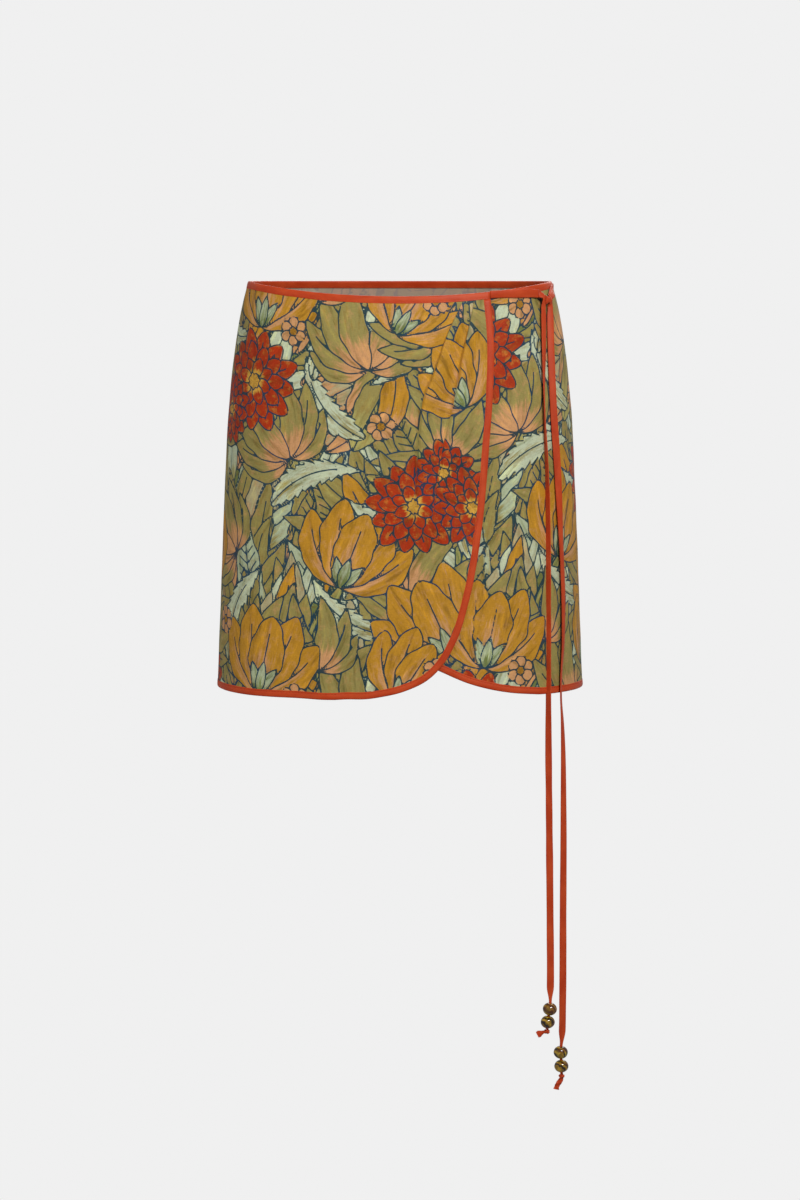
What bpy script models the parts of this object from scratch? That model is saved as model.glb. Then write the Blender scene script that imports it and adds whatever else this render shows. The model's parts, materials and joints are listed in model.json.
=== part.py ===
"""A short wrap skirt, as it stands out when it is worn: hollow, open at the waist and at the hem.

Three cloth panels go round the body: the back, the front that lies under and the front that wraps over it.
One bound strip edges the waist. It runs on past the corner of the upper front as a tie, which is knotted at
the side with a second tie from the side seam. Another strip edges the fronts and the hem. Each tie hangs from
the knot through two stone beads and ends in a small knot and a tail.

Frame: the origin is the middle of the waist, +Z is up, the front faces -Y and +X is the side with the knot.
Sizes are in millimetres, and points are turned into metres where they are made.

The fronts are described as they are cut, on a flat plane: "girth" is the distance along the cloth from the
centre of the front, positive towards the knot, and "height" is measured from the top of the waist. "Out" is
how far a point stands off the worn form, square to it.
"""

import math

import bmesh
import bpy
import numpy as np
from mathutils import Matrix, Vector

MM = 0.001

# ---------------------------------------------------------------- driving sizes
SKIRT_LENGTH = 400.0
WALL = 1.2  # the panels
BINDING_WIDTH = 7.0
BINDING_THICK = 2.0
BINDING_ROUND = 0.9  # how far in its two sides are rounded
SEAM_GAP = 0.3
FRONT_WAIST_DIP = 14.4  # how much lower the waist is cut at the centre of the front
OVERLAP_LIFT = 2.4  # how far the upper front stands off the lower one
LIFT_GIRTHS = (-112.0, -54.0)  # between these the upper front comes away from the worn form
SEAM_CALM = 40.0  # folds and tucks die out this near a side seam
TIE_WIDTH = 7.0
TIE_THICK = 1.4
TIE_THREADED = 0.4  # how much of its width a tie keeps where it is gathered through a bead
TIE_STEP = 21.0  # between the points of a hanging tie
LAID_STEP = 7.0  # between the points of a tie that lies on the cloth
KNOT_END_WIDTH = 0.7  # how much of its width a tie keeps where it leaves the knot
KNOT_END_LENGTH = 14.0
GATHER_LENGTH = 16.0  # the stretch above its first bead where a tie is gathered in
BEAD_DIAMETER = 13.8
BEAD_HEIGHT = 12.6
BEAD_HOLE = 3.8
CREASE_ANGLE = 40.0  # degrees: a mesh edge that turns more than this is shaded as an edge

# The worn form, ring by ring.
SECTIONS = {
    "height": (0, -20, -40, -80, -120, -200, -300, -400),
    "half_width": (147.6, 153.0, 157.2, 163.2, 167.3, 171.9, 176.3, 180.3),
    "front_depth": (90, 94, 97, 101, 104, 108, 112, 115),
    "back_depth": (98, 103, 108, 116, 122, 128, 129, 128),
}
SQUARENESS = 0.02  # 0 is an ellipse; more fills out its four shoulders

# The finished edge of each front, from the waist down and round its corner to where the hem runs level.
UPPER_EDGE = {
    "girth": (86, 90, 89, 86, 78, 66, 54, 43, 25, 4, -24, -63),
    "height": (-8, -55, -110, -151, -238, -305, -343, -363, -381, -391, -397.5, -400),
}
LOWER_EDGE = {
    "girth": (-42, -36, -24, -9, 6, 22, 46, 66, 86, 108, 140),
    "height": (-10, -100, -200, -298, -343, -363, -376, -384.6, -390.5, -395, -398.5),
}

# Two tucks run down the upper front from its corner. Each rises steeply on its left and falls off softly.
TUCKS = (
    {
        "height": (-16, -45, -83, -115, -140, -190, -267, -345, -400),
        "girth": (61, 47, 33, 21, 18, 15, 8, -2, -12),
        "rise": (0, 3.0, 4.2, 5.0, 5.2, 4.6, 3.4, 2.6, 2.0),
        "steep_width": (3, 3, 4, 5, 6, 8, 13, 18, 22),
        "soft_width": (9, 14, 20, 26, 28, 28, 26, 24, 24),
    },
    {
        "height": (-16, -40, -70, -109, -158, -229, -306, -370, -400),
        "girth": (71, 66, 59, 52, 40, 30, 24, 19, 16),
        "rise": (0, 2.8, 3.6, 4.4, 4.6, 3.6, 2.6, 2.0, 1.6),
        "steep_width": (3, 3, 4, 5, 6, 9, 13, 16, 18),
        "soft_width": (6, 12, 18, 22, 26, 26, 22, 18, 16),
    },
)

# Soft folds that open towards the hem: where each is there, how wide, how far out, and where it starts.
UPPER_FOLDS = {
    "girth": (-150, -104, -74, -50, -30),
    "width": (22, 18, 13, 9, 11),
    "rise": (1.6, -1.4, 2.4, -2.2, 2.2),
    "starts": (-230, -210, -220, -260, -250),
}
LOWER_FOLDS = {
    "girth": (84, 116, 152),
    "width": (12, 12, 16),
    "rise": (0.8, -0.7, 1.2),
    "starts": (-260, -240, -220),
}
BACK_FOLDS = {
    "girth": (-195, -148, -92, -38, 14, 66, 118, 170, 205),
    "width": (16, 20, 17, 19, 16, 20, 18, 20, 15),
    "rise": (1.4, 3.0, -2.0, 3.4, -2.4, 3.2, -1.8, 2.8, -1.2),
    "starts": (-200, -150, -190, -140, -180, -160, -200, -150, -220),
}

# The tie from the upper front's corner to the knot, on the lower front, and the one from the side seam.
WAIST_TIE = {
    "girth": (88, 101, 114, 128, 140, 145.7),
    "height": (-12.8, -12.4, -12.2, -12.1, -13.0, -16.2),
    "out": (2.8, 2.8, 2.9, 3.2, 4.0, 4.8),
    "width": (7.0, 7.4, 8.0, 8.4, 7.6, 6.4),
}
SEAM_TIE = {
    "girth": (195, 187, 178, 168, 158.5),
    "height": (-4.4, -5.8, -8.8, -12.8, -16.8),
    "out": (2.8, 3.0, 3.6, 4.4, 4.9),
    "width": (6.0, 6.6, 7.0, 7.0, 6.0),
}
KNOT = {
    "girth": 152.0,
    "height": -18.8,
    "out": 5.1,
    "half_width": 5.8,
    "half_height": 4.8,
    "half_depth": 3.4,
}

# The routes of the two hanging ties: how far right, how far off the cloth, and the way the flat side faces
# (0 is the front, 90 the knot's side). Past the hem a tie hangs straight down.
FRONT_TIE = {
    "height": (-24, -40, -80, -120, -190, -270, -340, -404, -440, -520, -620, -690, -709.5, -723, -730),
    "right": (138.6, 138.8, 138.9, 139.2, 142.0, 143.4, 143.7, 144.0, 144.2, 145.3, 146.7, 147.3, 147.0,
              144.8, 144.3),
    "off_cloth": (5.2, 4.2, 3.8, 3.8, 3.8, 3.8, 4.0, 4.6, 4.6, 4.6, 4.6, 4.6, 4.6, 4.6, 4.6),
    "faces": (42, 38, 54, 64, 60, 50, 47, 46, 38, 18, 4, 0, 0, 0, 0),
}
SIDE_TIE = {
    "height": (-24, -40, -80, -120, -190, -240, -317, -385, -440, -520, -620, -700, -742, -756.6, -770.8, -778),
    "right": (145.6, 145.6, 146.6, 148.4, 153.2, 155.6, 158.2, 158.3, 158.3, 158.8, 159.7, 160.1, 159.6,
              158.6, 159.4, 159.5),
    "off_cloth": (5.6, 4.8, 4.6, 4.6, 4.6, 4.2, 4.2, 4.6, 4.6, 4.2, 4.2, 4.2, 4.2, 4.2, 4.2, 4.2),
    "faces": (40, 26, 16, 12, 16, 40, 52, 60, 56, 34, 16, 10, 8, 6, 4, 4),
}
HANGS_FREE = -400.0
FRONT_TIE_BEADS = (-709.9, -722.9)  # the heights of their middles
SIDE_TIE_BEADS = (-756.7, -770.6)

# The small knot under the last bead, and the tail that comes out of it, as steps from the knot's middle.
END_KNOT_RADII = (2.9, 2.6, 2.1)
FRONT_TAIL = {
    "right": (-3.4, -5.2, -7.4, -9.6),
    "down": (0.5, 1.2, 2.2, 3.4),
    "width": (2.8, 4.0, 6.0, 6.8),
}
SIDE_TAIL = {
    "right": (-0.3, -1.6, -3.5, -4.6, -5.2),
    "down": (2.9, 5.6, 8.4, 11.0, 13.6),
    "width": (4.4, 4.6, 5.2, 4.8, 5.6),
}

# ---------------------------------------------------------------- how finely each piece is meshed
UPPER_FRONT_MESH = {"rows": 27, "columns": 36, "tuck_columns": ((17, 19), (24, 26))}
LOWER_FRONT_MESH = {"rows": 20, "columns": 22}
BACK_MESH = {"rows": 13, "columns": 41, "first_row": -24.0}
EDGE_STATIONS = 72
FRONT_WAIST_STATIONS = 28
BACK_WAIST_STATIONS = 33
BACK_HEM_STATIONS = 49
BEAD_STEPS = 15
SIDE_ANGLES = np.linspace(0.2, 1.55, 400)  # from near the centre of the front to near the side seam

# ---------------------------------------------------------------- colours
CLOTH_COLOUR = (0.36, 0.30, 0.10)
BINDING_COLOUR = (0.53, 0.075, 0.022)
BEAD_COLOUR = (0.17, 0.09, 0.02)


# ---------------------------------------------------------------- curves and the worn form
def smooth(knots, values, at):
    """A smooth curve through a table, read at one place or many. The knots rise or fall."""
    knots, values = np.asarray(knots, float), np.asarray(values, float)
    if knots[0] > knots[-1]:
        knots, values = knots[::-1], values[::-1]
    slopes = np.gradient(values, knots)
    at = np.clip(np.asarray(at, float), knots[0], knots[-1])
    i = np.clip(np.searchsorted(knots, at, side="right") - 1, 0, len(knots) - 2)
    span = knots[i + 1] - knots[i]
    t = (at - knots[i]) / span
    start = (1 + 2 * t) * (1 - t) ** 2 * values[i] + t * (1 - t) ** 2 * span * slopes[i]
    end = t * t * (3 - 2 * t) * values[i + 1] - t * t * (1 - t) * span * slopes[i + 1]
    return start + end


def ease(low, high, at):
    """0 below low, 1 above high, and a smooth step between them."""
    t = np.clip((np.asarray(at, float) - low) / (high - low), 0, 1)
    return t * t * (3 - 2 * t)


def lengths_along(line):
    """How far each point of a line is along it."""
    return np.concatenate([[0], np.cumsum(np.linalg.norm(np.diff(line, axis=0), axis=1))])


def ring(angle, height, out=0.0):
    """A point of the worn form. Angle 0 is the centre of the front, and 90 degrees the knot's side."""
    half_width = smooth(SECTIONS["height"], SECTIONS["half_width"], height)
    front = smooth(SECTIONS["height"], SECTIONS["front_depth"], height)
    back_depth = smooth(SECTIONS["height"], SECTIONS["back_depth"], height)
    depth = np.where(np.cos(angle) > 0, front, back_depth)
    e = SQUARENESS
    x = half_width * (np.sin(angle) + e * np.sin(3 * angle)) / (1 - e)
    y = -depth * (np.cos(angle) - e * np.cos(3 * angle)) / (1 - e)
    along_x = half_width * (np.cos(angle) + 3 * e * np.cos(3 * angle))
    along_y = depth * (np.sin(angle) - 3 * e * np.sin(3 * angle))
    long = np.hypot(along_x, along_y)
    return np.stack([x + out * along_y / long, y - out * along_x / long, height + 0 * x], axis=-1)


RING_ANGLES = np.linspace(-math.pi, math.pi, 721)
RING_LEVELS = np.linspace(-SKIRT_LENGTH, 0, 42)
RING_POINTS = ring(RING_ANGLES[None, :], RING_LEVELS[:, None])
RING_STEPS = np.linalg.norm(np.diff(RING_POINTS, axis=1), axis=2)
RING_GIRTHS = np.concatenate([np.zeros((len(RING_LEVELS), 1)), np.cumsum(RING_STEPS, axis=1)], axis=1)
RING_GIRTHS -= RING_GIRTHS[:, [len(RING_ANGLES) // 2]]
QUARTER_GIRTHS = np.array([np.interp(math.pi / 2, RING_ANGLES, row) for row in RING_GIRTHS])


def angle_at(girth, height):
    """The angle round the form that lies a girth from the centre of the front, at a height."""
    girth, height = np.broadcast_arrays(np.asarray(girth, float), np.asarray(height, float))
    place = (height - RING_LEVELS[0]) / (RING_LEVELS[1] - RING_LEVELS[0])
    place = np.clip(place, 0, len(RING_LEVELS) - 1.001)
    level = place.astype(int)
    angle = np.zeros(girth.shape)
    for k in np.unique(level):
        here = level == k
        below = np.interp(girth[here], RING_GIRTHS[k], RING_ANGLES)
        above = np.interp(girth[here], RING_GIRTHS[k + 1], RING_ANGLES)
        angle[here] = below + (above - below) * (place[here] - k)
    return angle


def seam_girth(height):
    """The girth from the centre of the front to a side seam."""
    return np.interp(height, RING_LEVELS, QUARTER_GIRTHS)


def waist_height(angle):
    return np.where(np.cos(angle) > 0, -FRONT_WAIST_DIP * np.cos(angle) ** 2, 0.0)


# ---------------------------------------------------------------- folds and the three surfaces
def tuck_rise(girth, height):
    rise = 0.0
    for tuck in TUCKS:
        across = girth - smooth(tuck["height"], tuck["girth"], height)
        steep = smooth(tuck["height"], tuck["steep_width"], height)
        soft = smooth(tuck["height"], tuck["soft_width"], height)
        profile = ease(-steep / 2, steep / 2, across) * (1 - ease(steep / 2, steep / 2 + soft, across))
        rise = rise + smooth(tuck["height"], tuck["rise"], height) * profile
    return rise


def fold_rise(folds, girth, height):
    rise = 0.0
    for place, width, out, starts in zip(folds["girth"], folds["width"], folds["rise"], folds["starts"]):
        opened = 1 - ease(-SKIRT_LENGTH, starts, height)
        rise = rise + out * opened * np.exp(-(((girth - place) / width) ** 2))
    return rise


def up_to_seams(girth, height):
    """A girth that goes no further than the side seams."""
    limit = seam_girth(height) - SEAM_GAP / 2
    return np.clip(girth, -limit, limit)


def upper_front(girth, height, out=0.0):
    """A point of the front that wraps over and stands off the lower one. It meets the back at its seam."""
    girth = up_to_seams(girth, height)
    lift = OVERLAP_LIFT * ease(*LIFT_GIRTHS, girth)
    off_seam = ease(0, SEAM_CALM, girth + seam_girth(height))
    stands = lift + off_seam * (fold_rise(UPPER_FOLDS, girth, height) + tuck_rise(girth, height))
    return ring(angle_at(girth, height), height, stands + out)


def lower_front(girth, height, out=0.0):
    """A point of the front that lies under."""
    girth = up_to_seams(girth, height)
    off_seam = ease(0, SEAM_CALM, seam_girth(height) - girth)
    stands = off_seam * fold_rise(LOWER_FOLDS, girth, height)
    return ring(angle_at(girth, height), height, stands + out)


def back(angle, height, out=0.0):
    """A point of the back, which runs from a side seam at 90 degrees to the other at 270."""
    hem_radius = 0.5 * (SECTIONS["half_width"][-1] + SECTIONS["back_depth"][-1])
    calm = SEAM_CALM / hem_radius
    off_seam = ease(0, calm, angle - math.pi / 2) * ease(0, calm, 1.5 * math.pi - angle)
    stands = off_seam * fold_rise(BACK_FOLDS, (angle - math.pi) * hem_radius, height)
    return ring(angle, height, stands + out)


# ---------------------------------------------------------------- the flat cut of the fronts
def finished_edge(edge, side):
    """The finished edge of a front on the flat, from the waist round the corner and along the hem.

    Side is -1 for the front whose seam is at the left and 1 for the other. Gives the line and the way into
    the cloth from each of its points.
    """
    seam = [side * (float(seam_girth(-SKIRT_LENGTH)) - SEAM_GAP / 2), -SKIRT_LENGTH]
    corners = np.column_stack([edge["girth"], edge["height"]]).astype(float)
    along = lengths_along(corners)
    curved = np.column_stack([smooth(along, corners[:, k], np.arange(0, along[-1], 1.0)) for k in (0, 1)])
    level = np.linspace(curved[-1], seam, 1 + int(abs(seam[0] - curved[-1, 0])))[1:]
    line = np.vstack([curved, level])
    ahead = np.gradient(line, axis=0)
    ahead /= np.linalg.norm(ahead, axis=1)[:, None]
    inward = side * np.column_stack([-ahead[:, 1], ahead[:, 0]])
    return line, inward


def spread(line, start, stop, count):
    """Indices of a fine line, spaced evenly along it from one index to another."""
    along = lengths_along(line)
    wanted = np.linspace(along[start], along[stop], count + 1)
    return np.clip(np.searchsorted(along, wanted), start, stop)


def front_grid(edge, side, row_count, column_count, guides=()):
    """Points of a front's cloth on the flat, in rows from the waist to the hem.

    Each row runs from the side seam to the front edge. The last column ends at the rounded corner, where
    the edge slopes at 45 degrees. A guide is a column's number and a function for its girth at a height.
    """
    inset = BINDING_WIDTH + SEAM_GAP
    line, inward = finished_edge(edge, side)
    cloth_line = line + inset * inward
    below_waist = cloth_line[:, 1] < waist_height(angle_at(cloth_line[:, 0], 0)) - inset
    top = int(np.argmax(below_waist))
    corner = int(np.argmax(np.abs(inward[:, 1]) > np.abs(inward[:, 0])))
    along_edge = cloth_line[spread(cloth_line, top, corner, row_count)]
    hem_line = cloth_line[corner:]
    columns = np.arange(column_count + 1)
    guided = [0, *[column for column, _ in guides], column_count]

    def guide_girths(height):
        return [girth_at(height) for _, girth_at in guides]

    waist_start = side * (float(seam_girth(-inset)) - SEAM_GAP / 2)
    waist_ends = [waist_start, *guide_girths(along_edge[0, 1]), along_edge[0, 0]]
    waist_girth = np.interp(columns, guided, waist_ends)
    along_waist = np.column_stack([waist_girth, waist_height(angle_at(waist_girth, 0)) - inset])
    along_waist[-1] = along_edge[0]
    hem_ends = [hem_line[-1, 0], *guide_girths(hem_line[-1, 1]), hem_line[0, 0]]
    hem_girth = np.interp(columns, guided, hem_ends)
    hem_height = np.interp(side * hem_girth, side * hem_line[:, 0], hem_line[:, 1])
    along_hem = np.column_stack([hem_girth, hem_height])
    v = np.linspace(0, 1, row_count + 1)
    seam_heights = along_waist[0, 1] + v * (along_hem[0, 1] - along_waist[0, 1])
    along_seam = np.column_stack([side * (seam_girth(seam_heights) - SEAM_GAP / 2), seam_heights])

    u, v = columns[None, :, None] / column_count, v[:, None, None]
    grid = (1 - v) * along_waist[None] + v * along_hem[None]
    grid += (1 - u) * along_seam[:, None] + u * along_edge[:, None]
    grid -= (1 - u) * ((1 - v) * along_waist[0] + v * along_hem[0])
    grid -= u * ((1 - v) * along_waist[-1] + v * along_hem[-1])
    for row in grid[1:-1]:
        shifts = [girth_at(row[column, 1]) - row[column, 0] for column, girth_at in guides]
        row[:, 0] += np.interp(columns, guided, [0, *shifts, 0])
    return grid


def tuck_guides(columns):
    """Two columns for each tuck, at the foot and the top of its steep side."""
    guides = []
    for tuck, (foot, top) in zip(TUCKS, columns):
        for column, share in ((foot, -0.5), (top, 0.5)):

            def girth_at(height, tuck=tuck, share=share):
                steep = smooth(tuck["height"], tuck["steep_width"], height)
                return float(smooth(tuck["height"], tuck["girth"], height) + share * steep)

            guides.append((column, girth_at))
    return guides


# ---------------------------------------------------------------- meshes
def new_object(name, mesh, colour, roughness):
    material = bpy.data.materials.new(name)
    material.use_nodes = True
    shader = material.node_tree.nodes["Principled BSDF"]
    shader.inputs["Base Color"].default_value = (*colour, 1)
    shader.inputs["Roughness"].default_value = roughness
    shader.inputs["Metallic"].default_value = 0.0
    mesh.materials.append(material)
    piece = bpy.data.objects.new(name, mesh)
    bpy.context.scene.collection.objects.link(piece)
    return piece


def finish_mesh(name, bm, colour, roughness):
    """Turns a bmesh in millimetres into a shaded object in metres."""
    bmesh.ops.scale(bm, vec=(MM, MM, MM), verts=bm.verts)
    bmesh.ops.recalc_face_normals(bm, faces=bm.faces)
    if bm.calc_volume(signed=True) < 0:
        bmesh.ops.reverse_faces(bm, faces=bm.faces)
    mesh = bpy.data.meshes.new(name)
    bm.to_mesh(mesh)
    bm.free()
    mesh.shade_smooth()
    mesh.set_sharp_from_angle(angle=math.radians(CREASE_ANGLE))
    return new_object(name, mesh, colour, roughness)


def flat_grid(bm, points):
    """A flat grid of faces from -1 to 1, with a vertex for each of the rows of points."""
    rows, columns = points.shape[:2]
    return bmesh.ops.create_grid(bm, x_segments=columns - 1, y_segments=rows - 1, size=1)["verts"]


def shape_grid(verts, points):
    """Moves the vertices of a flat grid to the points that their places in it stand for."""
    rows, columns = points.shape[:2]
    for vert in verts:
        row = round((vert.co.y + 1) / 2 * (rows - 1))
        column = round((vert.co.x + 1) / 2 * (columns - 1))
        vert.co = points[row, column]


def make_panel(name, inner, outer):
    """A panel of cloth: a grid that is thickened, then shaped to the points of its two faces."""
    bm = bmesh.new()
    inner_verts = flat_grid(bm, inner)
    thickened = bmesh.ops.extrude_face_region(bm, geom=bm.faces[:])
    shape_grid(inner_verts, inner)
    shape_grid([item for item in thickened["geom"] if isinstance(item, bmesh.types.BMVert)], outer)
    return finish_mesh(name, bm, CLOTH_COLOUR, 0.8)


def make_strip(name, rings):
    """A strip through closed cross-sections, one for each row of points, with its two ends closed."""
    bm = bmesh.new()
    closed = np.concatenate([rings, rings[:, :1]], axis=1)
    shape_grid(flat_grid(bm, closed), closed)
    bmesh.ops.remove_doubles(bm, verts=bm.verts, dist=MM)
    ends = [edge for edge in bm.edges if edge.is_boundary]
    bmesh.ops.holes_fill(bm, edges=ends, sides=0)
    return finish_mesh(name, bm, BINDING_COLOUR, 0.6)


def make_binding(name, line, inward, place):
    """A folded strip over the raw edge of a panel, whose two sides are rounded."""
    near, far = BINDING_ROUND, BINDING_WIDTH - BINDING_ROUND
    into_cloth = np.array([0, near, far, BINDING_WIDTH, far, near])
    out = np.array([0, -0.5, -0.5, 0, 0.5, 0.5]) * BINDING_THICK + WALL / 2
    flat = line[:, None] + into_cloth[None, :, None] * inward[:, None]
    return make_strip(name, place(flat[..., 0], flat[..., 1], out[None, :]))


def make_laid_tie(name, table, place):
    """A flat tie that lies on a surface. The table gives its middle line."""
    corners = np.column_stack([table["girth"], table["height"]]).astype(float)
    along = lengths_along(corners)
    at = np.linspace(0, along[-1], max(4, int(along[-1] / LAID_STEP)))
    line = np.column_stack([smooth(along, corners[:, k], at) for k in (0, 1)])
    out, width = (smooth(along, table[key], at) for key in ("out", "width"))
    ahead = np.gradient(line, axis=0)
    ahead /= np.linalg.norm(ahead, axis=1)[:, None]
    across = np.column_stack([-ahead[:, 1], ahead[:, 0]])
    sides = np.array([-0.5, 0.5, 0.5, -0.5])
    faces = np.array([-0.5, -0.5, 0.5, 0.5]) * TIE_THICK
    flat = line[:, None] + (sides[None, :] * width[:, None])[..., None] * across[:, None]
    return make_strip(name, place(flat[..., 0], flat[..., 1], out[:, None] + faces[None, :]))


# ---------------------------------------------------------------- ties, beads and knots
def tie_depth(right, height, off_cloth):
    """How far forward a point is that lies a distance off the lower front, at a height."""
    points = ring(SIDE_ANGLES, np.full(len(SIDE_ANGLES), float(height)), off_cloth)
    return float(np.interp(right, points[:, 0], points[:, 1]))


def tie_route(table, first_bead_top):
    """Points down the middle of a hanging tie, with the way that its flat side faces."""
    top, end = table["height"][0], table["height"][-1]
    gathers = first_bead_top + GATHER_LENGTH
    open_part = np.linspace(top, gathers, 1 + round((top - gathers) / TIE_STEP))
    threaded_part = np.linspace(first_bead_top + 1, end, 6)
    heights = np.concatenate([open_part, [gathers - GATHER_LENGTH / 2], threaded_part])
    right, off_cloth, faces = (
        smooth(table["height"], table[key], heights) for key in ("right", "off_cloth", "faces")
    )
    hem_right, hem_off = (
        float(smooth(table["height"], table[key], HANGS_FREE)) for key in ("right", "off_cloth")
    )
    hem_depth = tie_depth(hem_right, HANGS_FREE, hem_off)
    depth = [
        tie_depth(x, z, off) if z > HANGS_FREE else hem_depth
        for x, z, off in zip(right, heights, off_cloth)
    ]
    return np.column_stack([right, depth, heights]), np.radians(faces)


def tie_point(route, height):
    return Vector([float(np.interp(-height, -route[:, 2], route[:, k])) for k in range(3)])


def make_hanging_strip(name, points, faces, widths):
    """A flat strip that hangs free: a curve with a thin section, turned about its length to face its ways.

    The section of a curve that runs down has its width along Y before it is turned.
    """
    widest = float(max(widths))
    curve = bpy.data.curves.new(name, "CURVE")
    curve.dimensions = "3D"
    curve.bevel_depth = TIE_THICK / 2 * MM
    curve.extrude = (widest - TIE_THICK) / 2 * MM
    curve.bevel_resolution = 2
    curve.use_fill_caps = True
    spline = curve.splines.new("POLY")
    spline.points.add(len(points) - 1)
    for point, place, face, width in zip(spline.points, points, faces, widths):
        point.co = (*(Vector(place) * MM), 1)
        point.tilt = math.pi / 2 - float(face)
        point.radius = float(width) / widest
    return new_object(name, curve, BINDING_COLOUR, 0.6)


def make_tie(name, table, beads):
    """A hanging tie. It is narrower where it leaves the knot, and gathered above its first bead."""
    first_bead_top = max(beads) + BEAD_HEIGHT / 2
    route, faces = tie_route(table, first_bead_top)
    spread_out = ease(first_bead_top + 1, first_bead_top + GATHER_LENGTH, route[:, 2])
    opens_out = ease(0, KNOT_END_LENGTH, route[0, 2] - route[:, 2])
    leaves_knot = KNOT_END_WIDTH + (1 - KNOT_END_WIDTH) * opens_out
    widths = TIE_WIDTH * (TIE_THREADED + (1 - TIE_THREADED) * spread_out) * leaves_knot
    make_hanging_strip(name, route, faces, widths)
    return route


def make_bead(name, route, height):
    """A round stone bead with a hole down its middle, turned to the run of the tie that it hangs on."""
    bm = bmesh.new()
    rim = math.acos(BEAD_HOLE / BEAD_DIAMETER)
    profile = [
        bm.verts.new((BEAD_DIAMETER / 2 * math.cos(a), 0, BEAD_HEIGHT / 2 * math.sin(a)))
        for a in np.linspace(-rim, rim, 8)
    ]
    outline = [bm.edges.new(pair) for pair in zip(profile, profile[1:] + profile[:1])]
    bmesh.ops.spin(bm, geom=profile + outline, cent=(0, 0, 0), axis=(0, 0, 1), angle=2 * math.pi,
                   steps=BEAD_STEPS, use_merge=True)
    along = tie_point(route, height + BEAD_HEIGHT / 2) - tie_point(route, height - BEAD_HEIGHT / 2)
    turn = along.to_track_quat("Z", "Y").to_matrix().to_4x4()
    bmesh.ops.transform(bm, matrix=Matrix.Translation(tie_point(route, height)) @ turn, verts=bm.verts)
    return finish_mesh(name, bm, BEAD_COLOUR, 0.15)


def make_lump(name, middle, radii, turn=0.0):
    """A rounded knot."""
    bm = bmesh.new()
    bmesh.ops.create_uvsphere(bm, u_segments=12, v_segments=8, radius=1)
    bmesh.ops.scale(bm, vec=radii, verts=bm.verts)
    place = Matrix.Translation(middle) @ Matrix.Rotation(turn, 4, "Z")
    bmesh.ops.transform(bm, matrix=place, verts=bm.verts)
    return finish_mesh(name, bm, BINDING_COLOUR, 0.6)


def make_tie_end(name, route, tail):
    """The small knot that holds the beads on, and the tail that comes out of it."""
    middle = Vector(route[-1]) - Vector((0, 0, END_KNOT_RADII[2] + SEAM_GAP))
    make_lump(name + "_end_knot", middle, END_KNOT_RADII)
    steps = np.arange(len(tail["right"]))
    at = np.linspace(0, steps[-1], 2 * len(steps))
    right, down, width = (smooth(steps, tail[key], at) for key in ("right", "down", "width"))
    points = np.column_stack([middle.x + right, np.full(len(at), middle.y), middle.z - down])
    make_hanging_strip(name + "_tail", points, np.full(len(at), math.pi / 2), width)


# ---------------------------------------------------------------- the skirt
def make_upper_front():
    mesh = UPPER_FRONT_MESH
    grid = front_grid(UPPER_EDGE, -1, mesh["rows"], mesh["columns"], tuck_guides(mesh["tuck_columns"]))
    make_panel("front_upper", *(upper_front(grid[..., 0], grid[..., 1], out) for out in (0.0, WALL)))


def make_lower_front():
    grid = front_grid(LOWER_EDGE, 1, LOWER_FRONT_MESH["rows"], LOWER_FRONT_MESH["columns"])
    make_panel("front_lower", *(lower_front(grid[..., 0], grid[..., 1], out) for out in (0.0, WALL)))


def back_angles(count):
    margin = SEAM_GAP / 2 / SECTIONS["back_depth"][0]
    return np.linspace(math.pi / 2 + margin, 1.5 * math.pi - margin, count)


def make_back():
    inset = BINDING_WIDTH + SEAM_GAP
    lower_rows = np.linspace(BACK_MESH["first_row"], -SKIRT_LENGTH + inset, BACK_MESH["rows"])
    height = np.concatenate([[-inset], lower_rows])
    angle, height = np.meshgrid(back_angles(BACK_MESH["columns"]), height)
    make_panel("back", *(back(angle, height, out) for out in (0.0, WALL)))


def make_edge_binding(name, edge, side, place):
    """The strip that edges a front from under the waist binding, round the corner and along the hem."""
    line, inward = finished_edge(edge, side)
    inner_line = line + BINDING_WIDTH * inward
    waist = waist_height(angle_at(line[:, 0], 0)) - BINDING_WIDTH - SEAM_GAP
    top = int(np.argmax(np.maximum(line[:, 1], inner_line[:, 1]) < waist))
    picks = spread(line, top, len(line) - 1, EDGE_STATIONS)
    make_binding(name, line[picks], inward[picks], place)


def make_front_waist_binding(name, edge, side, place):
    """The strip that edges the waist of a front, from its seam to its front edge."""
    seam = side * (float(seam_girth(0)) - SEAM_GAP / 2)
    girth = np.linspace(seam, edge["girth"][0], FRONT_WAIST_STATIONS)
    line = np.column_stack([girth, waist_height(angle_at(girth, 0))])
    make_binding(name, line, np.tile([0.0, -1.0], (len(girth), 1)), place)


def make_back_binding(name, height, into_cloth, count):
    line = np.column_stack([back_angles(count), np.full(count, float(height))])
    make_binding(name, line, np.tile([0.0, float(into_cloth)], (count, 1)), back)


def make_laid_ties_and_knot():
    make_laid_tie("waist_tie", WAIST_TIE, lower_front)
    make_laid_tie("seam_tie", SEAM_TIE, lower_front)
    middle, beyond = (lower_front(KNOT["girth"], KNOT["height"], KNOT["out"] + step) for step in (0, 1))
    faces = beyond - middle
    radii = (KNOT["half_width"], KNOT["half_depth"], KNOT["half_height"])
    make_lump("tie_knot", Vector(middle), radii, math.atan2(faces[0], -faces[1]))


def make_hanging_tie(name, table, beads, tail):
    route = make_tie(name, table, beads)
    for place, height in zip(("upper", "lower"), beads):
        make_bead(f"{name}_{place}_bead", route, height)
    make_tie_end(name, route, tail)


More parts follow.
